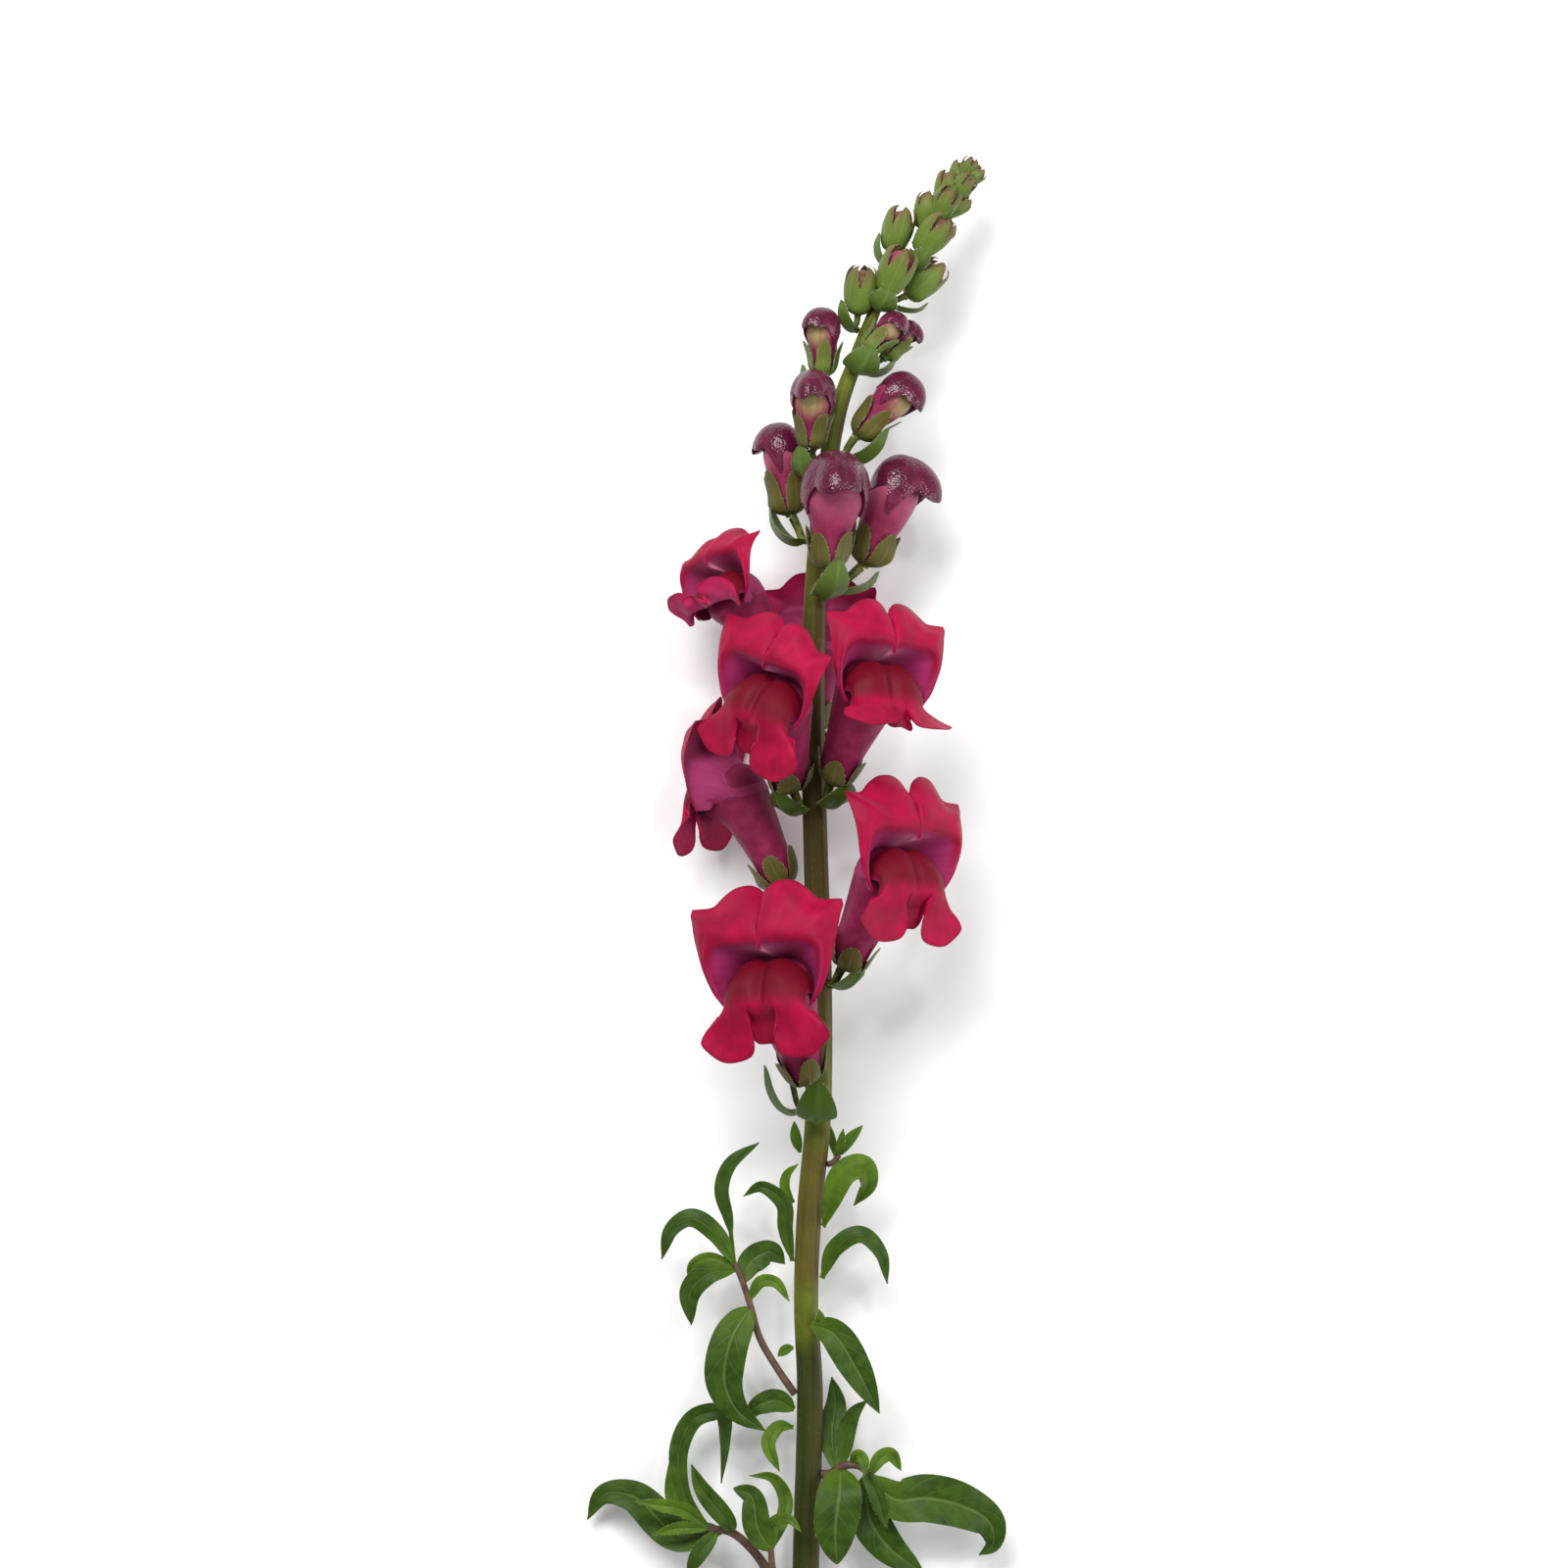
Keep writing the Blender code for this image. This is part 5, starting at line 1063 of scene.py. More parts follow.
# Each finish by its name: what makes it, its material, its colours in the panel, and its other values
FINISHES = {
    "petal": (petal_finish, "crimson_petal", ("petal_light", "petal_dark", "palate", "throat", "throat_glow",
                                              "petal_edge", "reverse", "tube_dark"), {}),
    "tube": (tube_finish, "magenta_tube", ("tube_light", "tube_dark", "bud_light"), {}),
    "hood": (hood_finish, "plum_hood", ("hood_light", "hood_dark", "bud_light"), {}),
    "bud_tube": (tube_finish, "pink_bud_tube", ("bud_light", "bud_dark", "bud_pale"), dict(roughness=0.42)),
    "cream_tube": (tube_finish, "cream_bud_tube", ("bud_light", "bud_dark", "bud_cream"), dict(roughness=0.42)),
    "bud_green": (tube_finish, "green_bud", ("green_bud", "green_bud_tip", "bud_light"), dict(roughness=0.4)),
    "sepal": (leaf_finish, "sepal_green", ("sepal", "sepal_dark", "sepal", "sepal_pale", "sepal_brown"),
              dict(sheen=0.03, pairs=3.0, midrib=0.1)),
    "bud_sepal": (leaf_finish, "bud_sepal_green",
                  ("bud_sepal", "bract", "bud_sepal", "sepal_pale", "green_bud_tip"),
                  dict(roughness=0.42, sheen=0.03, pairs=3.0, midrib=0.12)),
    "bract": (leaf_finish, "bract_green", ("bract", "bract_dark", "bract", "bud_bract", "leaf_young"),
              dict(roughness=0.36, pairs=5.0, midrib=0.35)),
    "bud_bract": (leaf_finish, "bud_bract_green", ("bud_bract", "bract", "bud_bract", "leaf_pale", "leaf_young"),
                  dict(roughness=0.4, pairs=5.0, midrib=0.3)),
    "leaf": (leaf_finish, "leaf_green", ("leaf_light", "leaf_dark", "leaf_under", "leaf_pale", "leaf_young"), {}),
    "young": (leaf_finish, "young_leaf_green", ("leaf_young", "leaf_light", "leaf_under", "leaf_pale"), {}),
    "stem": (stem_finish, "stem_green", ("stem_light", "stem_dark", "stem_pale", "stem_flush"), {}),
    "stalk": (plain_finish, "green_stalk", ("stem_pale", "stem_dark"), {}),
    "shoot": (plain_finish, "reddish_shoot", ("shoot_light", "shoot_dark"), {}),
    "hair": (plain_finish, "white_hair", ("hair_light", "hair_dark"), dict(roughness=0.6)),
}


def named_finish(key):
    """The finish of this name, made once, from the colours in the panel."""
    maker, name, colours, values = FINISHES[key]
    made = bpy.data.materials.get(name)
    return made or maker(name, *(getattr(settings(), colour) for colour in colours), **values)


# Pieces

# Faces across and along each kind of sheet, or around and along each closed form
PETAL_FACES = (96, 36)
SEPAL_FACES = (12, 18)
BRACT_FACES = (20, 30)
LEAF_FACES = (18, 46)
TIP_SEPAL_FACES = (8, 12)
TIP_BRACT_FACES = (12, 20)
TUBE_FACES = (72, 54)
BUD_TUBE_FACES = (56, 40)
HOOD_FACES = (128, 54)
POD_FACES = (40, 30)
TIP_POD_FACES = (28, 22)
STEM_FACES = (44, 322)
SHOOT_FACES = (20, 62)
STALK_FACES = (20, 24)
TIP_CORE_FACES = (20, 26)

# Thicknesses in millimetres
SEPAL_THICKNESS = 0.4  # also that of the tip's bracts
TIP_SEPAL_THICKNESS = 0.35

# The five sepals around a corolla: lengths as shares of the usual one, and how far each stands off
SEPALS = ((1.0, 0.0), (0.93, 0.32), (1.04, 0.1), (0.97, 0.4), (0.95, 0.22))
BLOOM_SEPAL = 0.30  # usual length of a bloom's sepals, as a share of its corolla
BUD_SEPAL = 0.44  # and of a bud's
BIG_SEPALS = 1.12  # sepals are drawn this much longer than in the solids
SMALL_SEPALS = 1.3  # and so are those of young calyces
BROADER = 1.2  # the same for the width of the bracts that are drawn broader
YOUNG_CALYX = 0.65  # corollas under this size have fresh green sepals
YOUNG_MOUTH = 0.78  # buds under this size have a cream mouth
BROAD_BRACT = 0.95  # bracts of flowers under this size are drawn broader
TIP_PITCH = 6  # how far the tip's buds lean out, in degrees
SMALL_LEAF = 2.0  # leaves with a half width under this have the young finish

RNG = np.random.default_rng(7)


def fade(value, low, high):
    """A soft step from 0 at low to 1 at high."""
    s = np.clip((value - low) / (high - low), 0, 1)
    return s * s * (3 - 2 * s)


def fuzz(piece, surface, count, length, v_range=(0.02, 0.98), lift=0.0, lean=0.4, width=0.028):
    """Fine hairs at scattered places of a surface, standing off it and leaning to its tip."""
    count = int(count * settings().fuzz)
    if not count:
        return
    u = RNG.uniform(0, 1, count)
    v = RNG.uniform(*v_range, count)
    step = 0.004
    root = surface(u, v)
    to_side = surface(np.clip(u + step, 0, 1), v) - surface(np.clip(u - step, 0, 1), v)
    to_tip = surface(u, np.clip(v + step, 0, 1)) - surface(u, np.clip(v - step, 0, 1))
    normal = unit(np.cross(to_side, to_tip))
    ways = unit(normal + lean * unit(to_tip) + RNG.normal(0, 0.25, (count, 3)))
    lengths = length * settings().hair_length * RNG.uniform(0.55, 1.15, count)
    piece.hairs(root + normal * lift, ways, lengths, width)


def edge_fuzz(piece, surface, count, length):
    """Fine hairs along both edges of a blade."""
    count = int(count * settings().fuzz)
    if not count:
        return
    u = RNG.integers(0, 2, count).astype(float)
    v = RNG.uniform(0.05, 0.97, count)
    root = surface(u, v)
    inner = surface(np.abs(u - 0.08), v)
    ahead = surface(u, np.clip(v + 0.01, 0, 1)) - root
    ways = unit(unit(root - inner) + 0.4 * unit(ahead) + RNG.normal(0, 0.3, (count, 3)))
    lengths = length * settings().hair_length * RNG.uniform(0.5, 1.1, count)
    piece.hairs(root, ways, lengths, width=0.026)


# Tints say where on its sheet or form a piece is toned or painted with shade, blushes, and glows, each from 0 to 1


def upper_lip_tint(u, v):
    """Where the upper lip is deep red, where purple, and where pale over the palate."""
    across = np.abs(2 * u - 1)
    throat = 1 - fade(v + 0.04 * across, 0.50, 0.58)
    wing = 0.7 * fade(across, 0.6, 0.85) * (1 - fade(v, 0.66, 0.86))
    glow = 0.8 * np.exp(-((across / 0.28) ** 2)) * fade(v, 0.3, 0.42) * (1 - fade(v, 0.46, 0.53))
    return 0.3 * (1 - fade(v, 0.52, 0.66)), np.maximum(throat, wing), glow


def lower_lip_tint(u, v):
    """Where the lower lip is deep red, with painted shade on its set-back middle lobe, and its purple corners."""
    across = np.abs(2 * u - 1)
    palate = 0.95 * fade(v, 0.04, 0.14) * (1 - fade(v, 0.44, 0.60))
    # painted shade: the middle lobe, set back under the others, is darkened towards the palate's deep red
    middle = 0.5 * np.exp(-((across / 0.17) ** 4)) * fade(v, 0.55, 0.7)
    return np.maximum(palate, middle), 0.5 * fade(across, 0.86, 1.0) * (1 - fade(v, 0.5, 0.8))


def tube_tint(u, v):
    """Darker at the base."""
    return 0.5 * (1 - fade(v, 0.0, 0.35)), 0.0


def bud_tube_tint(young):
    """Darker at the base and pale at the mouth, which is streaked where the bud is young."""

    def tint(u, v):
        front = np.clip(-np.cos(2 * math.pi * u), 0, 1)
        streak = 0.8 + 0.2 * np.cos(50 * math.pi * u + 3 * v) * np.cos(18 * math.pi * u)
        pale = 0.85 * streak * front**4 if young else 0.3
        return 0.5 * (1 - fade(v, 0.0, 0.3)), fade(v, 0.36, 0.62) * pale

    return tint


def hood_tint(u, v):
    """Painted shade: darker towards its rim, whose rolled edge is in shadow, and on its hollow underside; paler on
    its flaps.
    """
    flap = np.exp(-(((np.abs(u - 0.5) - 0.2) / 0.07) ** 2)) * fade(v, 0.45, 0.7) * (1 - fade(v, 0.74, 0.78))
    # the first value is painted shade at the rim and under the hood
    return np.maximum(fade(v, 0.74, 0.84), 0.5 * fade(v, 0.6, 0.74)), 0.3 * flap


def sepal_tint(u, v):
    """Paler at the edges and browner in the middle."""
    off = np.abs(2 * u - 1)
    return 0.3 * fade(off, 0.8, 1.0), 0.45 * (1 - fade(off, 0.1, 0.8)) * fade(v, 0.2, 0.7)


def bud_sepal_tint(u, v):
    """Paler at the edges and browner at the tip."""
    off = np.abs(2 * u - 1)
    return 0.3 * fade(off, 0.8, 1.0), 0.8 * fade(v + 0.25 * off, 0.65, 1.15)


def bract_tint(u, v):
    """Paler at the tip and fresher green at the base."""
    return 0.12 * fade(v, 0.5, 1), 0.5 * (1 - fade(v, 0.15, 0.5))


def leaf_tint(u, v):
    """Paler at the tip and fresher green at the base."""
    return 0.12 * fade(v, 0.85, 1), 0.4 * (1 - fade(v, 0.0, 0.4))


def stem_tint(u, v):
    """Where along the main stem it is dark, with painted shadow where it passes between the middle blooms, and
    where it is flushed with brown, partly as the brown of that painted shadow.
    """
    y = STEM_LINE[0][1] + v * (TIP_START - STEM_LINE[0][1])
    # between is painted shadow: the stretch of stem among the middle blooms, darkened and browned where their
    # shadow falls
    between = fade(y, -76, -52) * (1 - fade(y, 30, 62))
    right = np.clip(np.cos(2 * math.pi * u), 0, 1)
    low = 0.95 * (1 - fade(y, -148, -138))
    brown = 0.55 * fade(y, -133, -124) * (1 - fade(y, -98, -88)) + 0.4 * between
    return 0.9 * between + low, np.clip(0.75 * right**1.5 * (0.4 + 0.6 * fade(y, -70, 40)) + brown, 0, 0.9)


def make_corolla(name, spec):
    """An open bloom's tube and two lips."""
    flower = Flower(spec["size"], ruffle=settings().ruffle, **spec["form"])
    thick = settings().petal_thickness
    piece = Piece("petal", "tube")
    piece.closed(placed(spec, flower.tube), TUBE_FACES, "tube", tube_tint)
    piece.sheet(placed(spec, flower.upper_lip), PETAL_FACES, thick, "petal", upper_lip_tint, crumple=0.32)
    piece.sheet(placed(spec, flower.lower_lip), PETAL_FACES, thick, "petal", lower_lip_tint, turned=True,
                crumple=0.3)
    piece.build(f"bloom_{name}_corolla")


def sepal_surface(form, size, turn, length, grow, half_angle=0.86, flare=0.35):
    """One of the five sepals that hold a corolla's base: broad and pointed, its tip standing off."""
    foot = -CUP_CLEARANCE / size / form["length"]

    def surface(u, v):
        across = 2 * u - 1
        half = half_angle * (0.62 + 0.5 * v) * np.clip(1 - v, 0, 1) ** 0.62
        station = foot + (length - foot) * v
        off = (CUP_CLEARANCE + grow) / size + flare * v**3 + 0.25 * across**2 * np.sin(math.pi * v)
        held = np.maximum(station, 0.0)
        made = form_point(form, held, turn + across * half, off)
        rise = (np.minimum(station, 0.0) * form["length"])[:, None] * axes_of(form)[0]
        return (made + rise) * size

    return surface


def bract_surface(spec):
    """The leaf below a flower's stalk: it stands out from the stem and turns up."""
    place, axes, radius = stem_frame(spec["node"], spec.get("bract_azimuth", spec["azimuth"]))
    length, width = spec.get("bract", (11.0, 3.8))
    if spec["size"] < BROAD_BRACT:
        width = BROADER * width
    spread = spec.get("bract_spread", 1.0)
    steps = ((-0.03, 0.0), (-0.14, 0.3), (-0.02, 0.66), (0.3, 0.94), (0.78, 1.06))
    points = [
        place + (radius + SEAT + out * length * spread) * axes[2] + (up * length * (2 - spread)) * axes[1]
        for up, out in steps
    ]
    return blade_surface(points, width, face=tuple(axes[1] * 0.9 - axes[2] * 0.3),
                         face_tip=tuple(axes[1] * 0.3 - axes[2] * 0.9), fold=0.32, shape=(0.5, 0.6))


def add_stalk_and_bract(piece, spec, form, finish, sunk=-CUP_CLEARANCE - 0.1):
    """A flower's stalk, from the stem to sunk past the corolla's base, and its bract."""
    place, axes, radius = stem_frame(spec["node"], spec["azimuth"])
    own = spec_turn(spec).T @ stem_frame(spec["node"], spec["faces"])[1]
    heel = spec_base(spec) + sunk * (axes_of(form)[0] @ own)
    start = place + (radius + SEAT) * axes[2]
    middle = start * 0.45 + heel * 0.55 - 0.8 * axes[1]
    thick = 0.8 if form is SMALL_BUD else 1.1 * min(1, 0.45 + 0.6 * spec["size"])
    points = [
        (*start, thick * 1.1),
        (*(start + 1.2 * axes[2] + 0.1 * axes[1]), thick),
        (*middle, thick),
        (*heel, thick * 1.15),
    ]
    surface = stalk_surface(points, STALK_FACES)
    piece.closed(surface, STALK_FACES, "stalk")
    fuzz(piece, surface, 90, 0.5, v_range=(0.1, 0.9))
    surface = bract_surface(spec)
    piece.sheet(surface, BRACT_FACES, settings().leaf_thickness, finish, bract_tint)
    edge_fuzz(piece, surface, 150, 0.5)


def make_calyx(node, spec, form, usual):
    """Five sepals around a corolla's base, its stalk and its bract."""
    small = spec["size"] < YOUNG_CALYX
    sepal = "bud_sepal" if small else "sepal"
    bract = "bract" if form is TUBE else "bud_bract"
    length = spec.get("sepal", usual) * (SMALL_SEPALS if small else BIG_SEPALS)
    piece = Piece(sepal, bract, "stalk", "hair")
    for k, (share, off) in enumerate(SEPALS):
        turn = 2 * math.pi * k / len(SEPALS)
        surface = placed(spec, sepal_surface(form, spec["size"], turn, length * share, off))
        piece.sheet(surface, SEPAL_FACES, SEPAL_THICKNESS, sepal, sepal_tint)
        fuzz(piece, surface, 60, 0.42, v_range=(0.05, 0.9), lift=0.2)
        edge_fuzz(piece, surface, 70, 0.42)
    add_stalk_and_bract(piece, spec, form, bract)
    piece.build(node)


def make_bud(name, spec):
    """A coloured bud: its tube and the hood over it."""
    young = spec["size"] < YOUNG_MOUTH
    mouth = "cream_tube" if young else "bud_tube"
    tube = placed(spec, closed_form(BIG_BUD, spec["size"]))
    hood = placed(spec, hood_surface(BIG_BUD, spec["size"], spec.get("beak", 1.0)))
    piece = Piece("hood", mouth, "hair")
    piece.closed(tube, BUD_TUBE_FACES, mouth, bud_tube_tint(young))
    piece.closed(hood, HOOD_FACES, "hood", hood_tint)
    fuzz(piece, tube, 500, 0.22, v_range=(0.2, 0.9), width=0.02)
    piece.build(f"bud_{name}_corolla")


def make_green_bud(name, spec):
    """A green bud in its five sepals, its stalk and its bract."""
    size = spec["size"]
    coloured = 0.9 if name == "t_front" else 0.0

    def pod_tint(u, v):
        return 0.6 * fade(v, 0.55, 0.9) * (1 - coloured), coloured * fade(v, 0.4, 0.6)

    piece = Piece("bud_sepal", "bud_bract", "stalk", "hair", "bud_green")
    piece.closed(placed(spec, closed_form(SMALL_BUD, size * 0.94)), POD_FACES, "bud_green", pod_tint)
    for k in range(5):
        turn = 2 * math.pi * (k + 0.5) / 5
        sepal = sepal_surface(SMALL_BUD, 1.06 * size, turn, 0.98, 0.12 * (k % 2) - 0.5, 1.12, 0.5)
        surface = placed(spec, sepal)
        piece.sheet(surface, SEPAL_FACES, SEPAL_THICKNESS, "bud_sepal", bud_sepal_tint)
        fuzz(piece, surface, 50, 0.36, lift=0.2)
        edge_fuzz(piece, surface, 50, 0.36)
    add_stalk_and_bract(piece, spec, SMALL_BUD, "bud_bract", sunk=1.2)
    piece.build(f"bud_{name}")


def make_tip():
    """The crowded tip: the end of the stem and small green buds, those in front with a bract."""

    def pod_tint(u, v):
        return 0.4 * fade(v, 0.6, 0.95), 0.0

    piece = Piece("bud_sepal", "bud_bract", "stalk", "hair", "bud_green")
    core = [tuple(point) for point in STEM[STEM[:, 1] > TIP_START + SEAT][::8]]
    piece.closed(stalk_surface(core, TIP_CORE_FACES), TIP_CORE_FACES, "stalk")
    for y, azimuth, size in TIP_BUDS:
        place, axes, radius = stem_frame(y, azimuth)
        base = place + (radius * 0.5) * axes[2]
        turned = turn_of(TIP_PITCH)
        pod = posed(closed_form(SMALL_BUD, 1.15 * size), turned, axes, base)
        piece.closed(pod, TIP_POD_FACES, "bud_green", pod_tint)
        for k in range(5):
            turn = 2 * math.pi * (k + 0.5) / 5
            sepal = sepal_surface(SMALL_BUD, 1.25 * size, turn, 0.98, 0.1 * (k % 2) - 0.6, 1.1, 0.4)
            surface = posed(sepal, turned, axes, base)
            piece.sheet(surface, TIP_SEPAL_FACES, TIP_SEPAL_THICKNESS, "bud_sepal", bud_sepal_tint)
            edge_fuzz(piece, surface, 40, 0.32)
        if azimuth < 0:
            continue
        reach = size * 14
        points = [
            base + (radius * 0.2) * axes[2],
            base + 0.42 * reach * axes[2] + 0.2 * reach * axes[1],
            base + 0.62 * reach * axes[2] + 0.66 * reach * axes[1],
            base + 0.5 * reach * axes[2] + 1.14 * reach * axes[1],
        ]
        surface = blade_surface(points, 3.6 * size + 1.0, face=tuple(-axes[2]), fold=0.3, shape=(0.5, 0.7))
        piece.sheet(surface, TIP_BRACT_FACES, SEPAL_THICKNESS, "bud_bract")
        edge_fuzz(piece, surface, 70, 0.34)
    piece.build("buds_tip")


def make_leaves(name, leaves, stalk=None):
    """Leaves on the stem, or a shoot: its stalk and the leaves on it."""
    piece = Piece("leaf", "young", "shoot", "hair")
    if stalk:
        surface = stalk_surface(stalk, SHOOT_FACES, rib=0.04)
        piece.closed(surface, SHOOT_FACES, "shoot")
        fuzz(piece, surface, 260, 0.4)
    for midrib, half_width, looks in leaves:
        surface = blade_surface(midrib, half_width, **looks)
        fresh = half_width < SMALL_LEAF or name == "leaf_right_loop"
        piece.sheet(surface, LEAF_FACES, settings().leaf_thickness, "young" if fresh else "leaf", leaf_tint)
        edge_fuzz(piece, surface, 60, 0.26)
    piece.build(name)


def make_stem():
    """The main stem, up to the tip's buds."""
    line = [point for point in STEM_LINE if point[1] < TIP_START] + [tuple(STEM[STEM[:, 1] < TIP_START][-1])]
    surface = stalk_surface(line, STEM_FACES, rib=0.035, ribs=7)
    piece = Piece("stem", "hair")
    piece.closed(surface, STEM_FACES, "stem", stem_tint)
    fuzz(piece, surface, 8000, 0.7, v_range=(0.0, 1.0), lean=0.1, width=0.035)
    piece.build("main_stem")


# Stage: a pale floor, soft light and a camera that looks straight down

FLOOR_HALF = 1.5  # half of the floor's side, in metres
FLOOR_DROP = 0.0002  # how far the floor lies under the surface that the stem rests on, in metres
FLOOR_PATCH = (0.93, 0.93, 0.93)
FOCAL_LENGTH = 120
SENSOR_WIDTH = 36
# Lamps: name, place, what they look at, width and height in metres, and power as a share of the key light's
LAMPS = (
    ("key", (-0.35, 0.75, 1.1), (0, 0, 0), 0.7, 0.5, 1.0),
    ("side", (0.9, -0.1, 0.6), (0, 0, 0), 0.5, 0.9, 0.35),
    ("glint", (0.25, 0.55, 1.0), (0, 0.1, 0), 0.1, 0.1, 0.12),
)


def make_floor():
    mesh = bpy.data.meshes.new("floor")
    corners = [(x * FLOOR_HALF, y * FLOOR_HALF, 0) for x, y in ((-1, -1), (1, -1), (1, 1), (-1, 1))]
    mesh.from_pydata(corners, [], [(0, 1, 2, 3)])
    w = Finish("pale_floor", roughness=0.9, specular=0.1)
    w.colour(w.mix(w.patches(size=40.0, sharpness=0.1), stage_settings().floor, FLOOR_PATCH))
    mesh.materials.append(w.material)
    floor = new_object("floor", mesh)
    floor.location.z = -FLOOR_DROP


def make_light():
    look = stage_settings()
    world = bpy.data.worlds.new("studio")
    world.use_nodes = True
    background = world.node_tree.nodes["Background"].inputs
    background["Color"].default_value = (1, 1, 1, 1)
    background["Strength"].default_value = look.fill
    bpy.context.scene.world = world
    for name, place, aim, width, height, share in LAMPS:
        lamp = bpy.data.lights.new(name, "AREA")
        lamp.shape = "RECTANGLE"
        lamp.size = width
        lamp.size_y = height
        lamp.energy = share * look.key
        obj = new_object(name, lamp)
        obj.location = place
        obj.rotation_euler = (Vector(aim) - Vector(place)).to_track_quat("-Z", "Y").to_euler()


def make_camera():
    lens = bpy.data.cameras.new("photo_camera")
    lens.lens = FOCAL_LENGTH
    lens.sensor_width = SENSOR_WIDTH
    lens.clip_start = 0.05
    camera = new_object("photo_camera", lens)
    camera.location = (-FRAME_SHIFT[0] * MM, -FRAME_SHIFT[1] * MM, stage_settings().camera_height)
    camera.rotation_euler = (0, 0, 0)
    bpy.context.scene.camera = camera
    view = bpy.context.scene.view_settings
    view.view_transform = "Standard"
    view.look = "None"


# Panel, operators and settings


def colour_setting(name, description, default):
    """A colour of the panel, as plain light values of red, green and blue."""
    return bpy.props.FloatVectorProperty(
        name=name, description=description, subtype="COLOR", size=3, min=0, max=1, default=default
    )


class SnapdragonSettings(bpy.types.PropertyGroup):
    """Sizes and colours of the stem."""

    petal_thickness: bpy.props.FloatProperty(
        name="Petal thickness", description="Thickness of a petal in millimetres", default=0.45, min=0.2, max=1.0
    )
    leaf_thickness: bpy.props.FloatProperty(
        name="Leaf thickness", description="Thickness of a leaf in millimetres", default=0.45, min=0.2, max=1.0
    )
    ruffle: bpy.props.FloatProperty(
        name="Ruffle", description="How strongly the edges of the petals wave", subtype="FACTOR", default=1.0,
        min=0, max=2,
    )
    fuzz: bpy.props.FloatProperty(
        name="Fuzz", description="Share of the usual number of hairs", subtype="FACTOR", default=1.0, min=0, max=2
    )
    hair_length: bpy.props.FloatProperty(
        name="Hair length", description="Length of the hairs as a share of the usual one", subtype="FACTOR",
        default=1.0, min=0.2, max=2,
    )
    petal_light: colour_setting("Petal", "Crimson of the lobes", (0.43, 0.0025, 0.050))
    petal_dark: colour_setting("Petal shade", "Darker crimson of the lobes", (0.20, 0.0015, 0.023))
    palate: colour_setting("Palate", "Deep red of the palate", (0.125, 0.002, 0.010))
    throat: colour_setting("Throat", "Purple-pink of the throat's roof", (0.32, 0.026, 0.120))
    throat_glow: colour_setting("Throat glow", "Pale pink above the palate", (0.80, 0.28, 0.46))
    petal_edge: colour_setting("Petal edge", "Dark red of the petals' edges", (0.12, 0.003, 0.020))
    reverse: colour_setting("Reverse", "Mauve of the petals' backs", (0.36, 0.042, 0.140))
    tube_light: colour_setting("Tube", "Magenta of the tubes", (0.38, 0.030, 0.115))
    tube_dark: colour_setting("Tube shade", "Darker magenta of the tubes", (0.17, 0.010, 0.045))
    hood_light: colour_setting("Bud hood", "Plum of the buds' hoods", (0.145, 0.008, 0.046))
    hood_dark: colour_setting("Bud hood shade", "Darker plum of the buds' hoods", (0.055, 0.003, 0.017))
    bud_light: colour_setting("Bud tube", "Dusty pink of the buds' tubes", (0.40, 0.045, 0.125))
    bud_dark: colour_setting("Bud tube shade", "Darker pink of the buds' tubes", (0.19, 0.018, 0.055))
    bud_pale: colour_setting("Bud mouth", "Pale pink by the mouths of the large buds", (0.52, 0.14, 0.23))
    bud_cream: colour_setting("Young bud mouth", "Cream by the mouths of the young buds", (0.42, 0.41, 0.15))
    sepal: colour_setting("Sepal", "Grey-green of the sepals", (0.098, 0.094, 0.018))
    sepal_dark: colour_setting("Sepal shade", "Darker green of the sepals", (0.060, 0.062, 0.010))
    sepal_pale: colour_setting("Sepal edge", "Pale edge of the sepals", (0.30, 0.33, 0.14))
    sepal_brown: colour_setting("Sepal middle", "Brown of the sepals' middles", (0.10, 0.055, 0.022))
    bud_sepal: colour_setting("Bud sepal", "Fresh green of the small buds' sepals", (0.120, 0.178, 0.027))
    bract: colour_setting("Bract", "Green of the bracts", (0.052, 0.095, 0.006))
    bud_bract: colour_setting("Bud bract", "Lighter green of the buds' bracts", (0.082, 0.130, 0.022))
    bract_dark: colour_setting("Bract shade", "Darker green of the bracts", (0.024, 0.048, 0.004))
    leaf_light: colour_setting("Leaf", "Green of the leaves", (0.046, 0.096, 0.007))
    leaf_dark: colour_setting("Leaf shade", "Darker green of the leaves", (0.018, 0.046, 0.003))
    leaf_young: colour_setting("Young leaf", "Green of the youngest leaves", (0.100, 0.185, 0.009))
    leaf_under: colour_setting("Leaf underside", "Grey-green of the undersides", (0.060, 0.105, 0.020))
    leaf_pale: colour_setting("Leaf midrib", "Pale green of the midribs", (0.15, 0.22, 0.06))
    green_bud: colour_setting("Green bud", "Green of the youngest buds", (0.16, 0.22, 0.03))
    green_bud_tip: colour_setting("Green bud tip", "Brown-purple of their tips", (0.15, 0.065, 0.040))
    stem_light: colour_setting("Stem", "Olive green of the stem", (0.13, 0.155, 0.012))
    stem_dark: colour_setting("Stem shade", "Dark olive of the stem", (0.022, 0.028, 0.004))
    stem_pale: colour_setting("Stem pale", "Pale green of its ridges", (0.18, 0.20, 0.035))
    stem_flush: colour_setting("Stem flush", "Brown flush of one side", (0.085, 0.040, 0.014))
    shoot_light: colour_setting("Shoot stalk", "Reddish brown of the shoots' stalks", (0.15, 0.085, 0.055))
    shoot_dark: colour_setting("Shoot stalk shade", "Darker brown of them", (0.07, 0.035, 0.03))
    hair_light: colour_setting("Hair", "White of the fine hairs", (0.9, 0.9, 0.84))
    hair_dark: colour_setting("Hair shade", "Greyer white of the fine hairs", (0.75, 0.75, 0.68))


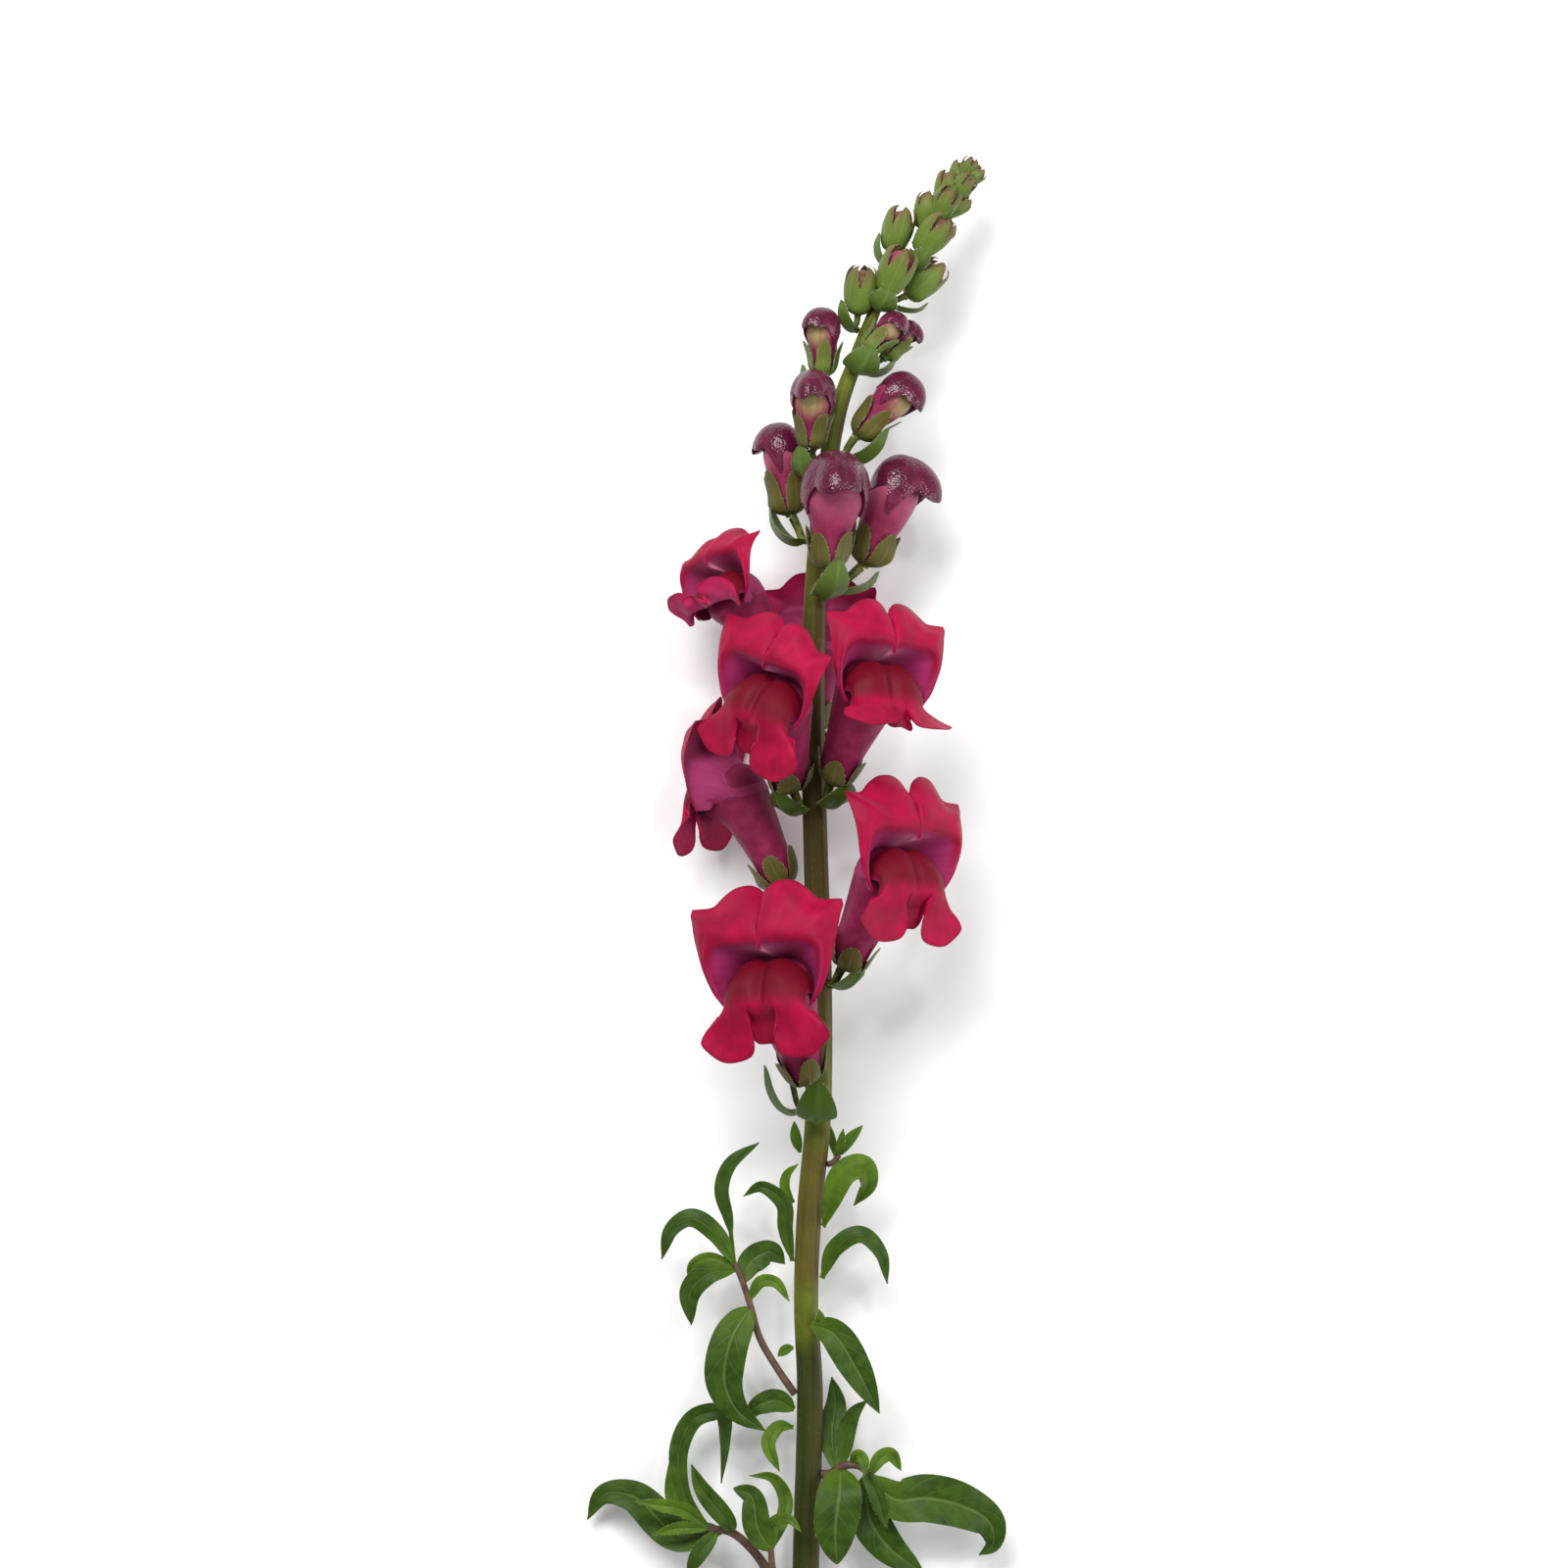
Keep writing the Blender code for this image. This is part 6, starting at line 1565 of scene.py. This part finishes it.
class SnapdragonStageSettings(bpy.types.PropertyGroup):
    """Floor, light and camera."""

    floor: colour_setting("Floor", "Colour of the floor", (0.95, 0.95, 0.95))
    fill: bpy.props.FloatProperty(
        name="Fill", description="Strength of the light from all round", default=0.45, min=0, max=3
    )
    key: bpy.props.FloatProperty(
        name="Key light", description="Power of the large soft light", unit="POWER", default=16.0, min=0, max=200
    )
    camera_height: bpy.props.FloatProperty(
        name="Camera height", description="Height of the camera over the floor", unit="LENGTH", default=1.36,
        min=0.3, max=5,
    )


class SNAPDRAGON_OT_blooms(bpy.types.Operator):
    """Builds the open blooms' tubes and lips"""

    bl_idname = "snapdragon.blooms"
    bl_label = "Blooms"

    def execute(self, context):
        for name, spec in BLOOMS.items():
            make_corolla(name, spec)
        return {"FINISHED"}


class SNAPDRAGON_OT_calyces(bpy.types.Operator):
    """Builds the sepals, stalks and bracts of the blooms and the coloured buds"""

    bl_idname = "snapdragon.calyces"
    bl_label = "Calyces and bracts"

    def execute(self, context):
        for name, spec in BLOOMS.items():
            make_calyx(f"bloom_{name}_calyx", spec, TUBE, BLOOM_SEPAL)
        for name, spec in BUDS.items():
            make_calyx(f"bud_{name}_calyx", spec, BIG_BUD, BUD_SEPAL)
        return {"FINISHED"}


class SNAPDRAGON_OT_buds(bpy.types.Operator):
    """Builds the coloured buds"""

    bl_idname = "snapdragon.buds"
    bl_label = "Coloured buds"

    def execute(self, context):
        for name, spec in BUDS.items():
            make_bud(name, spec)
        return {"FINISHED"}


class SNAPDRAGON_OT_green_buds(bpy.types.Operator):
    """Builds the green buds and the crowded tip"""

    bl_idname = "snapdragon.green_buds"
    bl_label = "Green buds and tip"

    def execute(self, context):
        for name, spec in GREEN_BUDS.items():
            make_green_bud(name, spec)
        make_tip()
        return {"FINISHED"}


class SNAPDRAGON_OT_leaves(bpy.types.Operator):
    """Builds the single leaves"""

    bl_idname = "snapdragon.leaves"
    bl_label = "Leaves"

    def execute(self, context):
        for name, leaves in LEAVES.items():
            make_leaves(name, leaves)
        return {"FINISHED"}


class SNAPDRAGON_OT_shoots(bpy.types.Operator):
    """Builds the leafy side shoots"""

    bl_idname = "snapdragon.shoots"
    bl_label = "Leafy shoots"

    def execute(self, context):
        for name, (stalk, leaves) in SHOOTS.items():
            make_leaves(name, leaves, stalk)
        return {"FINISHED"}


class SNAPDRAGON_OT_stem(bpy.types.Operator):
    """Builds the main stem"""

    bl_idname = "snapdragon.stem"
    bl_label = "Main stem"

    def execute(self, context):
        make_stem()
        return {"FINISHED"}


class SNAPDRAGON_OT_stage(bpy.types.Operator):
    """Sets the floor, the light and the camera"""

    bl_idname = "snapdragon.stage"
    bl_label = "Stage"

    def execute(self, context):
        make_floor()
        make_light()
        make_camera()
        return {"FINISHED"}


OPERATORS = (
    SNAPDRAGON_OT_stem,
    SNAPDRAGON_OT_blooms,
    SNAPDRAGON_OT_calyces,
    SNAPDRAGON_OT_buds,
    SNAPDRAGON_OT_green_buds,
    SNAPDRAGON_OT_leaves,
    SNAPDRAGON_OT_shoots,
    SNAPDRAGON_OT_stage,
)


class SNAPDRAGON_PT_panel(bpy.types.Panel):
    """Lists the pieces of the stem and their settings"""

    bl_idname = "SNAPDRAGON_PT_panel"
    bl_label = "Snapdragon stem"
    bl_space_type = "VIEW_3D"
    bl_region_type = "UI"
    bl_category = "Snapdragon"

    def draw(self, context):
        for operator in OPERATORS:
            self.layout.operator(operator.bl_idname)
        for group in (context.scene.snapdragon, context.scene.snapdragon_stage):
            box = self.layout.box()
            for key in group.__annotations__:
                box.prop(group, key)


CLASSES = (SnapdragonSettings, SnapdragonStageSettings, *OPERATORS, SNAPDRAGON_PT_panel)


def register():
    for made in CLASSES:
        bpy.utils.register_class(made)
    bpy.types.Scene.snapdragon = bpy.props.PointerProperty(type=SnapdragonSettings)
    bpy.types.Scene.snapdragon_stage = bpy.props.PointerProperty(type=SnapdragonStageSettings)


def unregister():
    del bpy.types.Scene.snapdragon_stage
    del bpy.types.Scene.snapdragon
    for made in reversed(CLASSES):
        bpy.utils.unregister_class(made)


def main():
    register()
    for build_group in GROUPS:
        build_group()
    for operator in OPERATORS:
        group, name = operator.bl_idname.split(".")
        result = getattr(getattr(bpy.ops, group), name)()
        if result != {"FINISHED"}:
            raise RuntimeError(f"{operator.bl_label} wasn't built")


if __name__ == "__main__":
    main()
